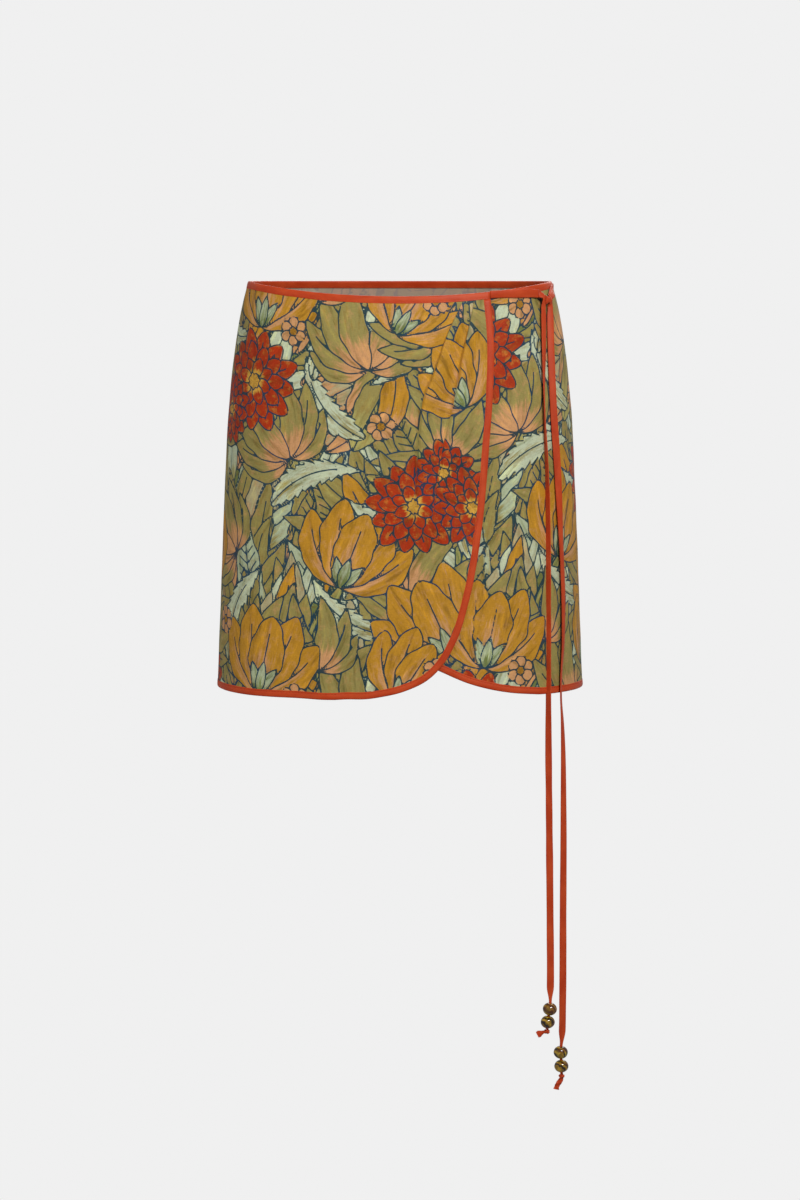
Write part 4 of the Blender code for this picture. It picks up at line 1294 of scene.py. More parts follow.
def finished_edge(edge, side):
    """The finished edge of a front on the flat, from the waist to the side seam, and the way into the cloth."""
    seam = [side * float(seam_girth(-SKIRT_LENGTH)), -SKIRT_LENGTH]
    corners = np.column_stack([edge["girth"], edge["height"]]).astype(float)
    along = lengths_along(corners)
    curved = smooth_points(along, corners, np.arange(0, along[-1], 1.0))
    level = np.linspace(curved[-1], seam, 1 + int(abs(seam[0] - curved[-1, 0])))[1:]
    line = np.vstack([curved, level])
    ahead = unit(np.gradient(line, axis=0))
    return line, side * np.column_stack([-ahead[:, 1], ahead[:, 0]])


def spread(line, start, stop, count):
    """Indices of a fine line, spaced evenly along it from one index to another."""
    along = lengths_along(line)
    return np.clip(np.searchsorted(along, np.linspace(along[start], along[stop], count + 1)), start, stop)


for edge, side in ((UPPER_EDGE, -1), (LOWER_EDGE, 1)):
    print("bound edge to the side seam:", round(float(lengths_along(finished_edge(edge, side)[0])[-1])), "mm")

# %% Bindings
WALL = 1.2
BINDING_STEP = 3.0
TUCKED_UNDER = 0.8  # how far an edge binding runs up under the waist binding
WAIST_POINTS, BACK_POINTS = 120, 170
BINDING_UNEVEN = {"width": 0.02, "height": 0.05}
STITCH_INTO, STITCH_OUT = 5.62, 0.88
stitch_lines = []  # for each binding: its name, points on its two faces and the ways that they look


def make_binding(name, line, inward, place, seed):
    """A binding along a line of the flat cut. Inward is the way into the cloth, and place the panel's surface."""
    along = lengths_along(line)
    wider, fuller = waves_along(along, 37, seed)[:, None], waves_along(along, 21, seed + 1)[:, None]
    into = BINDING_SECTION[None, :, 0] * (1 + BINDING_UNEVEN["width"] * wider)
    out = BINDING_SECTION[None, :, 1] * (1 + BINDING_UNEVEN["height"] * fuller) + WALL / 2
    flat = line[:, None] + into[..., None] * inward[:, None]
    rings = place(flat[..., 0], flat[..., 1], out)
    piece = new_strip(name + "_strip", rings, binding_satin, name)
    seam = line + STITCH_INTO * inward
    for side in (1, -1):
        on = place(seam[:, 0], seam[:, 1], WALL / 2 + side * STITCH_OUT)
        off = place(seam[:, 0], seam[:, 1], WALL / 2 + side * (STITCH_OUT + 1))
        stitch_lines.append((name, on, unit(off - on)))
    return piece


def bind_front_edge(name, edge, side, place, seed):
    """From under the waist binding, round the corner and along the hem to the side seam."""
    line, inward = finished_edge(edge, side)
    inner_line = line + BINDING_WIDTH * inward
    waist = waist_height(angle_at(line[:, 0], 0)) - BINDING_WIDTH + TUCKED_UNDER
    top = int(np.argmax(np.maximum(line[:, 1], inner_line[:, 1]) < waist))
    count = round(lengths_along(line)[-1] / BINDING_STEP)
    picks = spread(line, top, len(line) - 1, count)
    return make_binding(name, line[picks], inward[picks], place, seed)


def bind_front_waist(name, edge, side, place, seed):
    """From a side seam to the front edge."""
    girth = np.linspace(side * float(seam_girth(0)), edge["girth"][0], WAIST_POINTS)
    line = np.column_stack([girth, waist_height(angle_at(girth, 0))])
    return make_binding(name, line, np.tile([0.0, -1.0], (len(girth), 1)), place, seed)


def bind_back(name, height, into_cloth, seed):
    """Along the back's waist or hem. The section is laid out in angle and height here, and so is its line."""
    angles = np.linspace(math.pi / 2, 1.5 * math.pi, BACK_POINTS)
    line = np.column_stack([angles, np.full(len(angles), float(height))])
    return make_binding(name, line, np.tile([0.0, float(into_cloth)], (len(angles), 1)), back, seed)


bindings = [
    bind_front_edge("edge_binding_upper", UPPER_EDGE, -1, upper_front, 20),
    bind_front_edge("edge_binding_lower", LOWER_EDGE, 1, lower_front, 22),
    bind_front_waist("waist_binding_upper", UPPER_EDGE, -1, upper_front, 24),
    bind_front_waist("waist_binding_lower", LOWER_EDGE, 1, lower_front, 26),
    bind_back("waist_binding_back", 0, -1, 28),
    bind_back("hem_binding_back", -SKIRT_LENGTH, 1, 30),
]
print("bindings:", [len(piece.data.polygons) for piece in bindings])

# %% [markdown]
# ## Stitches
# A row of short stitches holds each binding down on both of its faces. One stitch is a tiny long bead of thread. It
# is copied along the seam with arrays, because thousands of separate objects would be slow.

# %% Stitches
STITCH = {"pitch": 3.0, "long": 2.05, "wide": 0.34, "high": 0.34 * 0.8, "around": 5, "rings": 4}


def one_stitch():
    """The points and triangles of a ball one across, which becomes a stitch when it is stretched."""
    bm = bmesh.new()
    bmesh.ops.create_uvsphere(bm, u_segments=STITCH["around"], v_segments=STITCH["rings"], radius=0.5)
    bmesh.ops.triangulate(bm, faces=bm.faces)
    bm.verts.index_update()
    points = np.array([vert.co[:] for vert in bm.verts])
    faces = [[vert.index for vert in face.verts] for face in bm.faces]
    bm.free()
    # Triangulate leaves its faces in any order, so each starts at its lowest index, and then they are sorted.
    firsts = [face.index(min(face)) for face in faces]
    return points, np.array(sorted(face[first:] + face[:first] for face, first in zip(faces, firsts)))


def sew(name, lines):
    """Stitches along seams, all in one mesh."""
    points, faces = one_stitch()
    size = np.array([STITCH["wide"], STITCH["high"], STITCH["long"]])
    all_points, all_faces = [], []
    for on, facing in lines:
        along = lengths_along(on)
        at = np.arange(STITCH["pitch"], along[-1] - 1, STITCH["pitch"])
        middle, out = points_between(at, along, on), points_between(at, along, facing)
        ahead = unit(points_between(at, along, np.gradient(on, along, axis=0)))
        across = unit(np.cross(ahead, out))
        axes = np.stack([across, np.cross(across, ahead), ahead], axis=1)
        placed = (points * size) @ axes + middle[:, None]
        first = sum(map(len, all_points))
        all_points.append(placed.reshape(-1, 3))
        starts = first + np.arange(len(at)) * len(points)
        all_faces.append((faces[None] + starts[:, None, None]).reshape(-1, 3))
    mesh = bpy.data.meshes.new(name)
    mesh.from_pydata((np.concatenate(all_points) * MM).tolist(), [], np.concatenate(all_faces).tolist())
    return new_piece(name, mesh, "binding", thread.material)


waist_sewing = sew("waist_stitches", [(on, out) for name, on, out in stitch_lines if name.startswith("waist")])
edge_sewing = sew("edge_stitches", [(on, out) for name, on, out in stitch_lines if not name.startswith("waist")])
print("stitch faces:", len(waist_sewing.data.polygons) + len(edge_sewing.data.polygons))

# %% [markdown]
# ## The print, painted by rule
# The cloth carries a large flower print in olive, ochre, rust, sage and peach, drawn with a dark teal line. Such a
# print could be an image on a UV map. It is painted here by rule instead, out of a few motifs: leaves, fans,
# dahlias, tulips, daisies, blades and reeds. Each motif is a formula for the distance to its outline. A vertex keeps
# the colours of the motif that lies on top there, and the step from it to the nearest ink line. Steps from the two
# sides of a line point at each other, so between the vertices they blend to nothing right on the line, and the
# shader can draw it thin and crisp.

# %% Print colours
OLIVE, OLIVE_LIGHT, OLIVE_DEEP = "93864C", "A89F5E", "686632"
SAGE, SAGE_PALE, MOSS = "ACB696", "BCC5A8", "6C7642"
OCHRE, OCHRE_LIGHT, OCHRE_DEEP = "B88424", "CC9C40", "92661E"
PEACH, PEACH_PALE, STONE = "C69264", "CFA682", "ACA27C"
RUST, INK_TEAL, INK_BLUE = "A4300A", "113642", "0C3852"
REPEAT = {"across": 318.0, "down": 352.0}
NO_INK = 9.0  # millimetres: further than this from a line makes no difference
DISC_AMOUNT = 0.3
BARE_AMOUNT = 0.35  # how much of the second colour shows where no shape lies


def rgb(code):
    return np.array(colour(code)[:3])


print("the print comes back every", REPEAT["across"], "by", REPEAT["down"], "mm")

# %% [markdown]
# ## Laying one shape over another
# A printer's screens are laid one over another, and so are the shapes here. Each vertex holds two colours and how
# much of the second is brushed over the first, the way of the brush, and the step to the nearest line. A new shape
# replaces all of these inside its outline. So the print needs no image, and its lines stay sharp from close by.


# %% The painted cloth
class PaintedCloth:
    """The print at each vertex of a panel, at places x and y on the flat cut."""

    def __init__(self, x, y):
        self.x, self.y = x, y
        self.fill = np.tile(rgb(MOSS), (len(x), 1))
        self.streak = np.tile(rgb(OLIVE_DEEP), (len(x), 1))
        self.amount = np.full(len(x), BARE_AMOUNT)
        self.brush = np.column_stack([x, y, np.zeros(len(x))])
        self.to_line = np.tile([NO_INK, 0, NO_INK], (len(x), 1))

    def lay(self, pick, edge, look, amount, brush, slope, lines=()):
        """Lays a shape over what is there. Edge is the distance to its outline, less than 0 inside.

        Slope is which way the edge grows. Lines are more ink lines inside, each a signed distance and its slope.
        """
        inside = edge < 0
        on = pick[inside]
        fill, streak = look
        self.fill[on] = rgb(fill) if isinstance(fill, str) else fill[inside]
        self.streak[on] = rgb(streak)
        self.amount[on] = np.broadcast_to(amount, edge.shape)[inside]
        self.brush[on] = brush[inside]
        self.to_line[on, 2] = NO_INK
        for away, way in ((edge, slope), *lines):
            near = np.abs(away) < self.to_line[pick, 2]
            near &= inside | (away is edge)
            steps = -away[near, None] * way[near]
            self.to_line[pick[near]] = np.column_stack([steps, np.abs(away[near])])


print("a shape replaces the colours, the brush and the lines under it")

# %% [markdown]
# ## One leaf
# Nearly all of the print is leaves: petals are leaves too. A leaf is widest somewhere along its length and comes to a
# point at both ends, which a sine does when its place is first raised to a power. Two small waves keep the outline
# from looking drawn with a template. The distance to the outline isn't exact away from it, so it is divided by how
# steeply it grows, which a probe of a few tenths of a millimetre measures.

# %% Leaves
NEAR = 4  # millimetres past its outline in which a shape is still worked out
LEAF_RADIUS, PAST_ENDS = 1.08, 0.06  # the same for a leaf's reach and ends, as shares of its length
LEAF_USUAL = {
    **{"peak": 0.8, "full": 0.8, "teeth": 0, "rib": True, "veins": 0},  # its form and its lines
    **{"amount": (0.9, 0.0), "wash": 0.6, "middle": 0},  # the second colour at its foot and tip, and down its middle
}
LEAF_WAVES = ((0.05, 6.1), (0.04, 3.3))  # how high, as a share of the width, and how long in millimetres
RIM_WAVES = ((0.10, 7), (0.06, 11))  # round a flower's centre: how high, and how many
TEETH_APART = 9.5
PROBE, LEAST_STEEP = 0.4, 0.7
RIB_ENDS = 0.78  # as a share of the leaf's length
VEIN_SLANT, VEIN_AHEAD, VEIN_ASIDE = 0.9, 0.74, 0.67
VEINS_SHOWN = {"across": 0.78, "from": 0.12}


def leaf_frame(cloth, x, y, turn, long, wide, bend):
    """Places along a leaf and across it, for the vertices near it. The leaf may bend to one side."""
    dx, dy = cloth.x - x, cloth.y - y
    near = np.flatnonzero(dx * dx + dy * dy < (long * LEAF_RADIUS + wide) ** 2)
    dx, dy = dx[near], dy[near]
    along = dx * math.cos(turn) + dy * math.sin(turn)
    t = along / long
    across = dy * math.cos(turn) - dx * math.sin(turn) - bend * 4 * t * (1 - t)
    keep = (t > -PAST_ENDS) & (t < 1 + PAST_ENDS) & (np.abs(across) < wide / 2 + NEAR)
    return near[keep], along[keep], across[keep]


def leaf_outline(along, across, long, wide, uneven, style):
    """The distance to a leaf's outline, less than 0 inside, with half its width there and the share of its length."""
    t = np.clip(along / long, 0, 1)
    half = wide / 2 * np.sin(math.pi * t ** style["peak"]) ** style["full"]
    (high, apart), (low, close) = LEAF_WAVES
    half = half * (1 + high * np.sin(along / apart + uneven[0]) + low * np.sin(along / close + uneven[1]))
    if style["teeth"]:
        half = half * (1 - style["teeth"] * ((along / TEETH_APART) % 1.0))
    edge = np.abs(across) - half
    beyond = np.maximum(-along, along - long)
    outside = np.hypot(np.maximum(edge, 0), beyond)
    return np.where(beyond > 0, outside, np.where(beyond > -2, np.maximum(edge, beyond), edge)), half, t


def leaf_lines(along, across, half, t, ways, style):
    """The ink lines inside a leaf: its rib, and slanting veins if it has any."""
    over = np.tile(ways[1], (len(t), 1))
    if style["rib"]:
        yield np.where(t < RIB_ENDS, across, NO_INK), over
    if style["veins"]:
        slant = (along - VEIN_SLANT * np.abs(across)) / style["veins"]
        vein = (slant - np.rint(slant)) * style["veins"] * VEIN_AHEAD
        shown = (np.abs(across) < half * VEINS_SHOWN["across"]) & (t > VEINS_SHOWN["from"])
        side = np.sign(across)[:, None]
        yield np.where(shown, vein, NO_INK), VEIN_AHEAD * ways[0] - VEIN_ASIDE * side * over


def paint_leaf(cloth, x, y, turn, long, wide, bend=0.0, look=(OLIVE, PEACH), **style):
    """One leaf or petal. Peak above 1 moves its widest place to the tip, and teeth cut its sides."""
    style = {**LEAF_USUAL, **style}
    pick, along, across = leaf_frame(cloth, x, y, turn, long, wide, bend)
    if not len(pick):
        return
    shape = (long, wide, (x, y), style)
    ways = np.array([[math.cos(turn), math.sin(turn)], [-math.sin(turn), math.cos(turn)]])
    edge, half, t = leaf_outline(along, across, *shape)
    sway = bend * 4 * (1 - 2 * along / long) / long
    probes = ((along + PROBE, across - PROBE * sway), (along, across + PROBE))
    grow = np.stack([leaf_outline(*probe, *shape)[0] - edge for probe in probes], axis=-1) / PROBE
    steep = np.maximum(np.linalg.norm(grow, axis=-1), LEAST_STEEP)
    edge, slope = edge / steep, (grow / steep[:, None]) @ ways
    base, tip = style["amount"]
    amount = base + (tip - base) * ease(0.0, style["wash"], t)
    amount = amount + style["middle"] * (1 - np.abs(across) / (half + 1))
    seed = (x * 0.37 + y * 0.73 + turn) % 61.0  # gives each leaf brush strokes of its own
    brush = np.column_stack([along, across, np.full(len(t), seed)])
    cloth.lay(pick, edge, look, amount, brush, slope, list(leaf_lines(along, across, half, t, ways, style)))


def paint_disc(cloth, x, y, radius, look):
    """A flower's centre, with an uneven rim."""
    dx, dy = cloth.x - x, cloth.y - y
    away = np.hypot(dx, dy)
    pick = np.flatnonzero(away < radius + NEAR)
    dx, dy, away = dx[pick], dy[pick], away[pick]
    turn = np.arctan2(dy, dx)
    outward = np.column_stack([dx, dy]) / (away[:, None] + 0.01)
    (high, few), (low, many) = RIM_WAVES
    edge = away - radius * (1 + high * np.sin(few * turn + x) + low * np.sin(many * turn))
    brush = np.column_stack([away, turn * 6, np.full(len(pick), (x * 0.7) % 31)])
    cloth.lay(pick, edge, look, DISC_AMOUNT, brush, outward)


print("a leaf usually has", LEAF_USUAL)

# %% [markdown]
# ## Motifs
# A dahlia is three rounds of narrow petals over one another, then its small centre. A tulip is a cup of five pointed
# petals. A fan is a handful of leaves from one root, washed with peach where they meet. Reeds, blades and daisies
# fill in between. Each motif is a few leaves at set angles and sizes, so that one function draws them all.

# %% Flowers
# For each round of a dahlia: how many petals, how long and wide they are, and how far the round is turned.
DAHLIA = ((13, 1.0, 0.40, 0.0), (11, 0.74, 0.34, 0.24), (8, 0.47, 0.27, 0.1))
# For each petal of a tulip: how far it swings, how long and wide it is, and how far it bends.
TULIP = (
    *((-0.72, 0.95, 0.40, -0.10), (0.72, 0.95, 0.40, 0.10), (-0.30, 1.02, 0.44, -0.05)),
    *((0.30, 1.02, 0.44, 0.05), (0.0, 0.90, 0.46, 0.0)),
)
DAISY_PETALS, DAISY_APART = 6, 1.047  # in radians, a sixth of a turn


def paint_dahlia(cloth, x, y, size, turn):
    for count, share, wide, shift in DAHLIA:
        for k in range(count):
            way = turn + shift + 2 * math.pi * (k * 5 % count) / count  # every fifth petal next, so that they lap
            paint_leaf(
                *(cloth, x, y, way, size * share * (1 + 0.06 * math.sin(5 * way)), size * wide),
                look=(RUST, OCHRE_LIGHT),
                **{"peak": 1.35, "full": 0.6, "rib": share == 1, "amount": (1.5, -0.5), "wash": 0.96},
            )
    paint_disc(cloth, x, y, size * 0.15, (OCHRE_LIGHT, OCHRE_DEEP))


def paint_tulip(cloth, x, y, size, turn):
    for swing, long, wide, bend in TULIP:
        paint_leaf(
            *(cloth, x, y, turn + swing, size * long, size * wide, size * bend),
            look=(OCHRE, PEACH),
            **{"peak": 1.05, "full": 0.62, "amount": (0.15, -0.5), "middle": 0.75, "wash": 1.0},
        )
    for swing in (-0.5, 0.45, 0.0):
        paint_leaf(
            *(cloth, x, y, turn + swing, size * 0.36, size * 0.13),
            look=(MOSS, SAGE),
            **{"rib": False, "amount": (0.2, 0.6)},
        )


def paint_daisy(cloth, x, y, size, turn):
    for k in range(DAISY_PETALS):
        paint_leaf(
            *(cloth, x, y, turn + k * DAISY_APART, size, size * 0.78),
            look=(PEACH, OCHRE),
            **{"peak": 1.6, "full": 0.5, "rib": False, "amount": (0.9, 0.0), "wash": 0.6},
        )
    paint_disc(cloth, x, y, size * 0.3, (OCHRE_DEEP, OCHRE))


print("a dahlia has", sum(row[0] for row in DAHLIA), "petals and a tulip", len(TULIP))

# %% Foliage
# For each leaf of a fan, how far it swings and how long it is. For each reed, how far aside and how it leans.
FAN = ((-1.15, 0.72), (1.15, 0.70), (-0.75, 0.92), (0.78, 0.9), (-0.36, 1.0), (0.40, 1.02), (0.02, 1.08))
REEDS = ((-13, -0.16), (13, 0.18), (0, 0.02), (-6.5, -0.07), (6.5, 0.1))
REED_WIDTH, REED_BEND, BLADE_BEND = 12.5, 9, 14


def paint_fan(cloth, x, y, size, turn):
    for swing, long in FAN:
        paint_leaf(
            *(cloth, x, y, turn + swing, size * long, size * 0.31, size * 0.10 * math.copysign(1, swing)),
            look=(OLIVE, PEACH),
            **{"rib": abs(swing) > 0.5, "amount": (1.1, -0.3), "wash": 0.62},
        )


def paint_reeds(cloth, x, y, size, turn):
    for k, (aside, lean) in enumerate(REEDS):
        root = (x + aside * math.sin(turn), y - aside * math.cos(turn))
        paint_leaf(
            *(cloth, *root, turn + lean, size * (1 - 0.05 * k), REED_WIDTH, REED_BEND),
            look=(MOSS, OLIVE_LIGHT),
            **{"full": 0.35, "amount": (0.5, 0.5)},
        )


def paint_blade(cloth, x, y, size, turn):
    paint_leaf(
        *(cloth, x, y, turn, size, size * 0.30, BLADE_BEND),
        look=(SAGE_PALE, OLIVE),
        **{"teeth": 0.28, "amount": (0.2, -0.3), "middle": 0.42, "wash": 0.9, "peak": 0.7},
    )


print("a fan has", len(FAN), "leaves, and a stand of reeds", len(REEDS))

# %% [markdown]
# ## Where the motifs lie
# The large motifs are placed one by one on one repeat of the print, because chance would crowd some and lose others.
# Later kinds lie over earlier ones. Each comes back at every repeat, and each column of repeats lies half a repeat
# away from the last, as printers do to keep rows from showing.

# %% Places of the motifs
MOTIFS = (
    {
        "paint": paint_reeds,
        "x": (-232, -86, 40),
        "y": (-196, -380, -186),
        "size": (132, 122, 118),
        "turn": (1.75, 1.2, 1.4),
    },
    {
        "paint": paint_blade,
        "x": (-188, -34, 62, -128, -250, -12, 20, -84, -160, 70, -208, -60, 30),
        "y": (-372, -150, -120, -214, -290, -336, -30, -94, -52, -268, -150, -250, -226),
        "size": (108, 96, 92, 98, 96, 90, 84, 88, 74, 90, 82, 80, 84),
        "turn": (1.1, 2.2, 1.9, 0.35, 0.7, 2.5, 4.1, 0.9, 2.7, 1.4, 1.9, 0.4, 2.9),
    },
    {
        "paint": paint_fan,
        "x": (-108, 10, -222, -30, 60, -176, -78, -262, 42, -140),
        "y": (-170, -300, -130, -84, -176, -262, -372, -342, -50, -20),
        "size": (84, 78, 84, 86, 78, 80, 72, 72, 72, 70),
        "turn": (2.1, 0.9, 0.8, 1.7, 0.5, 2.6, 1.9, 1.2, 2.6, 1.2),
    },
    {
        "paint": paint_tulip,
        "x": (-232, -58, 52, -142, -4),
        "y": (-296, -292, -360, -396, -402),
        "size": (80, 84, 92, 84, 74),
        "turn": (2.0, 1.2, 2.0, 1.35, 1.0),
    },
    {
        "paint": paint_dahlia,
        "x": (-150, -192, 14, 52, -244),
        "y": (-96, -124, -214, -182, -392),
        "size": (50, 35, 46, 33, 38),
        "turn": (0.3, 0.8, 1.1, 0.4, 0.7),
    },
    {
        "paint": paint_daisy,
        "x": (-104, 72, -18, -196, 34),
        "y": (-48, -318, -138, -330, -20),
        "size": (14, 15, 14, 14, 13),
        "turn": (0.5, 0.9, 0.2, 0.7, 0.4),
    },
)


REPEATS = range(-3, 4)


def repeats(cloth, x, y, reach):
    """The places where a motif comes back on a piece of cloth. Reach is how far past them it may show."""
    for i in REPEATS:
        for j in REPEATS:
            at = (x + i * REPEAT["across"], y + j * REPEAT["down"] + (i % 2) * REPEAT["down"] / 2)
            across = cloth.x.min() - reach < at[0] < cloth.x.max() + reach
            if across and cloth.y.min() - reach < at[1] < cloth.y.max() + reach:
                yield at


print("motifs in one repeat:", sum(len(kind["x"]) for kind in MOTIFS))

# %% [markdown]
# ## The bed of leaves
# Under the motifs lies a bed of leaves. Leaves thrown down at random leave bald spots and clumps. Here each has a
# place of its own in rows and columns and strays from it a little, and all flow along a few slow swings and lap like
# feathers, tips up.

# %% Leaf bed
LEAF_ROWS, LEAF_COLUMNS = 16, 12
LEAF_KINDS = (
    *((OLIVE, PEACH), (OLIVE, PEACH), (OLIVE, OLIVE_LIGHT), (SAGE, OLIVE), (SAGE_PALE, OLIVE_LIGHT), (STONE, PEACH)),
    *((OLIVE, PEACH), (OCHRE, PEACH), (OLIVE, PEACH_PALE)),
)


LEAF_LONG, LEAF_WIDE, LEAF_BEND = (72, 112), (0.25, 0.34), 13
LEAF_REACH, MOTIF_REACH = 116, 150
UPWARD, STRAYS = 1.6, 0.26  # the way that leaves point, and how far they stray from the flow, in radians
PLAIN_SHARE, VEINS_APART = 0.86, 9.0  # of the leaves, most are plain and some have veins


def flow(x, y):
    """How far the leaves lean from upward at a place."""
    return 0.75 * math.sin(x / 50.6 + 0.7) + 0.5 * math.sin(y / 56.0 - x / 101.2)


def paint_leaf_bed(cloth):
    rng = np.random.default_rng(11)
    for k in range(LEAF_ROWS * LEAF_COLUMNS):
        row, column = divmod(k, LEAF_COLUMNS)
        x = (column + 0.5 * (row % 2) + rng.uniform(-0.42, 0.42)) * REPEAT["across"] / LEAF_COLUMNS
        y = (LEAF_ROWS - row + rng.uniform(-0.5, 0.5)) * REPEAT["down"] / LEAF_ROWS
        long, turn = rng.uniform(*LEAF_LONG), UPWARD + flow(x, y) + rng.normal(0, STRAYS)
        wide, bend = long * rng.uniform(*LEAF_WIDE), rng.uniform(-LEAF_BEND, LEAF_BEND)
        kind = LEAF_KINDS[int(rng.integers(len(LEAF_KINDS)))]
        veins = 0 if rng.uniform() < PLAIN_SHARE else VEINS_APART
        for at in repeats(cloth, x, y, LEAF_REACH):
            paint_leaf(
                *(cloth, *at, turn, long, wide, bend),
                look=kind,
                **{"veins": veins, "amount": (1.05, -0.2), "wash": 0.6},
            )


def paint_print(x, y):
    """The whole print, on places x and y of a flat cut."""
    cloth = PaintedCloth(x, y)
    paint_leaf_bed(cloth)
    for kind in MOTIFS:
        for motif_x, motif_y, size, turn in zip(kind["x"], kind["y"], kind["size"], kind["turn"]):
            for at in repeats(cloth, motif_x, motif_y, MOTIF_REACH):
                kind["paint"](cloth, *at, size, turn)
    return cloth


print("leaves in one repeat:", LEAF_ROWS * LEAF_COLUMNS)

# %% [markdown]
# ## Printed cloth
# The cloth is a fine slubbed weave. The ink lines waver a little, the brushwork is dry at its ends, and the back of
# the cloth shows the same print as a pale ghost. One function makes both finishes. It could mix plain colours, but
# cloth that is dyed and washed is never plain: each noise below is one cause of unevenness, at its own scale, per
# millimetre of the flat cut or of the brush stroke.

# %% Cloth finish
DARKER, LIGHTER = (0.60, 0.60, 0.49, 1), (1.31, 1.29, 1.06, 1)
INK_HALF_WIDTH, INK_SOFT, INK_WAVER = 0.66, 0.2, 0.7  # millimetres
INK_COVERS = 0.95
STROKES, TEA_STAIN, WASH = (0.05, 0.36, 1), (0.06, 0.22, 1), (0.03, 0.16, 1)
MOTTLE_SCALE, WAVER_SCALE, INK_SCALE = 0.11, 0.14, 0.02
THREAD_ACROSS, THREAD_ALONG = 1.9, 0.22
REVERSE_COLOUR, REVERSE_SHARE = "B09C90", 0.74


def make_cloth(name, ghost):
    """The printed cloth. Ghost is true for its reverse."""
    cloth = Finish(name, Roughness=0.6, Sheen_Weight=0.05, Sheen_Roughness=0.5, Specular_IOR_Level=0.16)
    flat, brush = cloth.attribute("flat", "Vector"), cloth.attribute("brush", "Vector")
    long_strokes = cloth.noise(cloth.scaled(brush, STROKES), 1.0, 5.0, 0.66)
    dry = cloth.attribute("amount") + (long_strokes - 0.5) * 1.9
    fill, streak = cloth.attribute("fill", "Color"), cloth.attribute("streak", "Color")
    shade = cloth.mix(cloth.step(dry, 0.22, 0.74), fill, streak)
    mottle = cloth.noise(flat, MOTTLE_SCALE, 5.0, 0.68)
    shade = cloth.mix(cloth.step(mottle, 0.50, 0.68) * 0.40, shade, streak)
    tea = cloth.noise(cloth.scaled(brush, TEA_STAIN), 1.0, 4.0, 0.7)
    shade = cloth.mix(cloth.step(tea, 0.50, 0.66) * 0.30, shade, colour(OCHRE_DEEP))
    wash = cloth.noise(cloth.scaled(brush, WASH), 1.0, 4.0, 0.6)
    shade = cloth.mix(cloth.step(wash, 0.50, 0.72), shade, DARKER, "MULTIPLY")
    shade = cloth.mix(cloth.step(wash, 0.48, 0.28), shade, LIGHTER, "MULTIPLY")
    waver = cloth.noise(flat, WAVER_SCALE, 2.0) - 0.5
    ink = cloth.mix(cloth.step(cloth.noise(flat, INK_SCALE), 0.48, 0.62), colour(INK_TEAL), colour(INK_BLUE))
    to_line = {"Vector": cloth.attribute("to_line", "Vector")}
    right, up, far = (cloth.node("SeparateXYZ", {}, to_line, axis) for axis in "XYZ")
    away = (right * right + up * up) ** 0.5 + waver * INK_WAVER
    line = 1 - cloth.step(away, INK_HALF_WIDTH - INK_SOFT, INK_HALF_WIDTH + INK_SOFT)
    line = line * (1 - cloth.step(far, 1.0, 1.3))
    shade = cloth.mix(line * INK_COVERS, shade, ink)
    warp = cloth.noise(cloth.scaled(flat, (THREAD_ACROSS, THREAD_ALONG, 1)), 1.0, 2.0)
    weft = cloth.noise(cloth.scaled(flat, (THREAD_ALONG, THREAD_ACROSS, 1)), 1.0, 2.0)
    slub = warp + weft
    shade = cloth.mix(cloth.step(slub, 1.0, 1.35) * 0.5, shade, DARKER, "MULTIPLY")
    shade = cloth.mix(cloth.step(slub, 1.0, 0.68) * 0.4, shade, LIGHTER, "MULTIPLY")
    if ghost:
        shade = cloth.mix(REVERSE_SHARE, shade, colour(REVERSE_COLOUR))
    cloth.set("Base Color", shade)
    cloth.set("Roughness", 0.5 + slub * 0.1)
    cloth.bump(slub, RELIEF, 0.4)
    return cloth.material


printed_cloth = make_cloth("printed_cloth_face", ghost=False)
cloth_reverse = make_cloth("printed_cloth_reverse", ghost=True)
print("cloth finishes ready")

# %% [markdown]
# ## The panels
# Each panel is two layers of one thin cloth, the printed face and its reverse, which end inside the bindings. The
# flat cut is filled by blending its four sides, and two pairs of columns follow the steep sides of the tucks, so
# those stay crisp. The face is fine enough to carry the print on its vertices. A plane cut to shape would have
# ragged triangles along the round corners, just where light shows them.

# %% Grids of the fronts
CLOTH_INSET = 3.6  # how far inside the finished edge the cloth ends, hidden by the binding
UPPER_MESH = {"rows": 292, "columns": 288, "guides": ((136, 152), (192, 208))}
UPPER_REVERSE = {"rows": 120, "columns": 96, "guides": ((45, 51), (64, 69))}
LOWER_MESH = {"rows": 292, "columns": 160, "guides": ()}
LOWER_REVERSE = {"rows": 110, "columns": 72, "guides": ()}


def tuck_guides(columns):
    """Two columns for each tuck, at the foot and the top of its steep side."""
    guides = []
    for tuck, pair in zip(TUCKS, columns):
        for column, share in zip(pair, (-0.5, 0.5)):

            def girth_at(height, tuck=tuck, share=share):
                return read(tuck, "girth", height) + share * steep_width(tuck, height)

            guides.append((column, girth_at))
    return guides


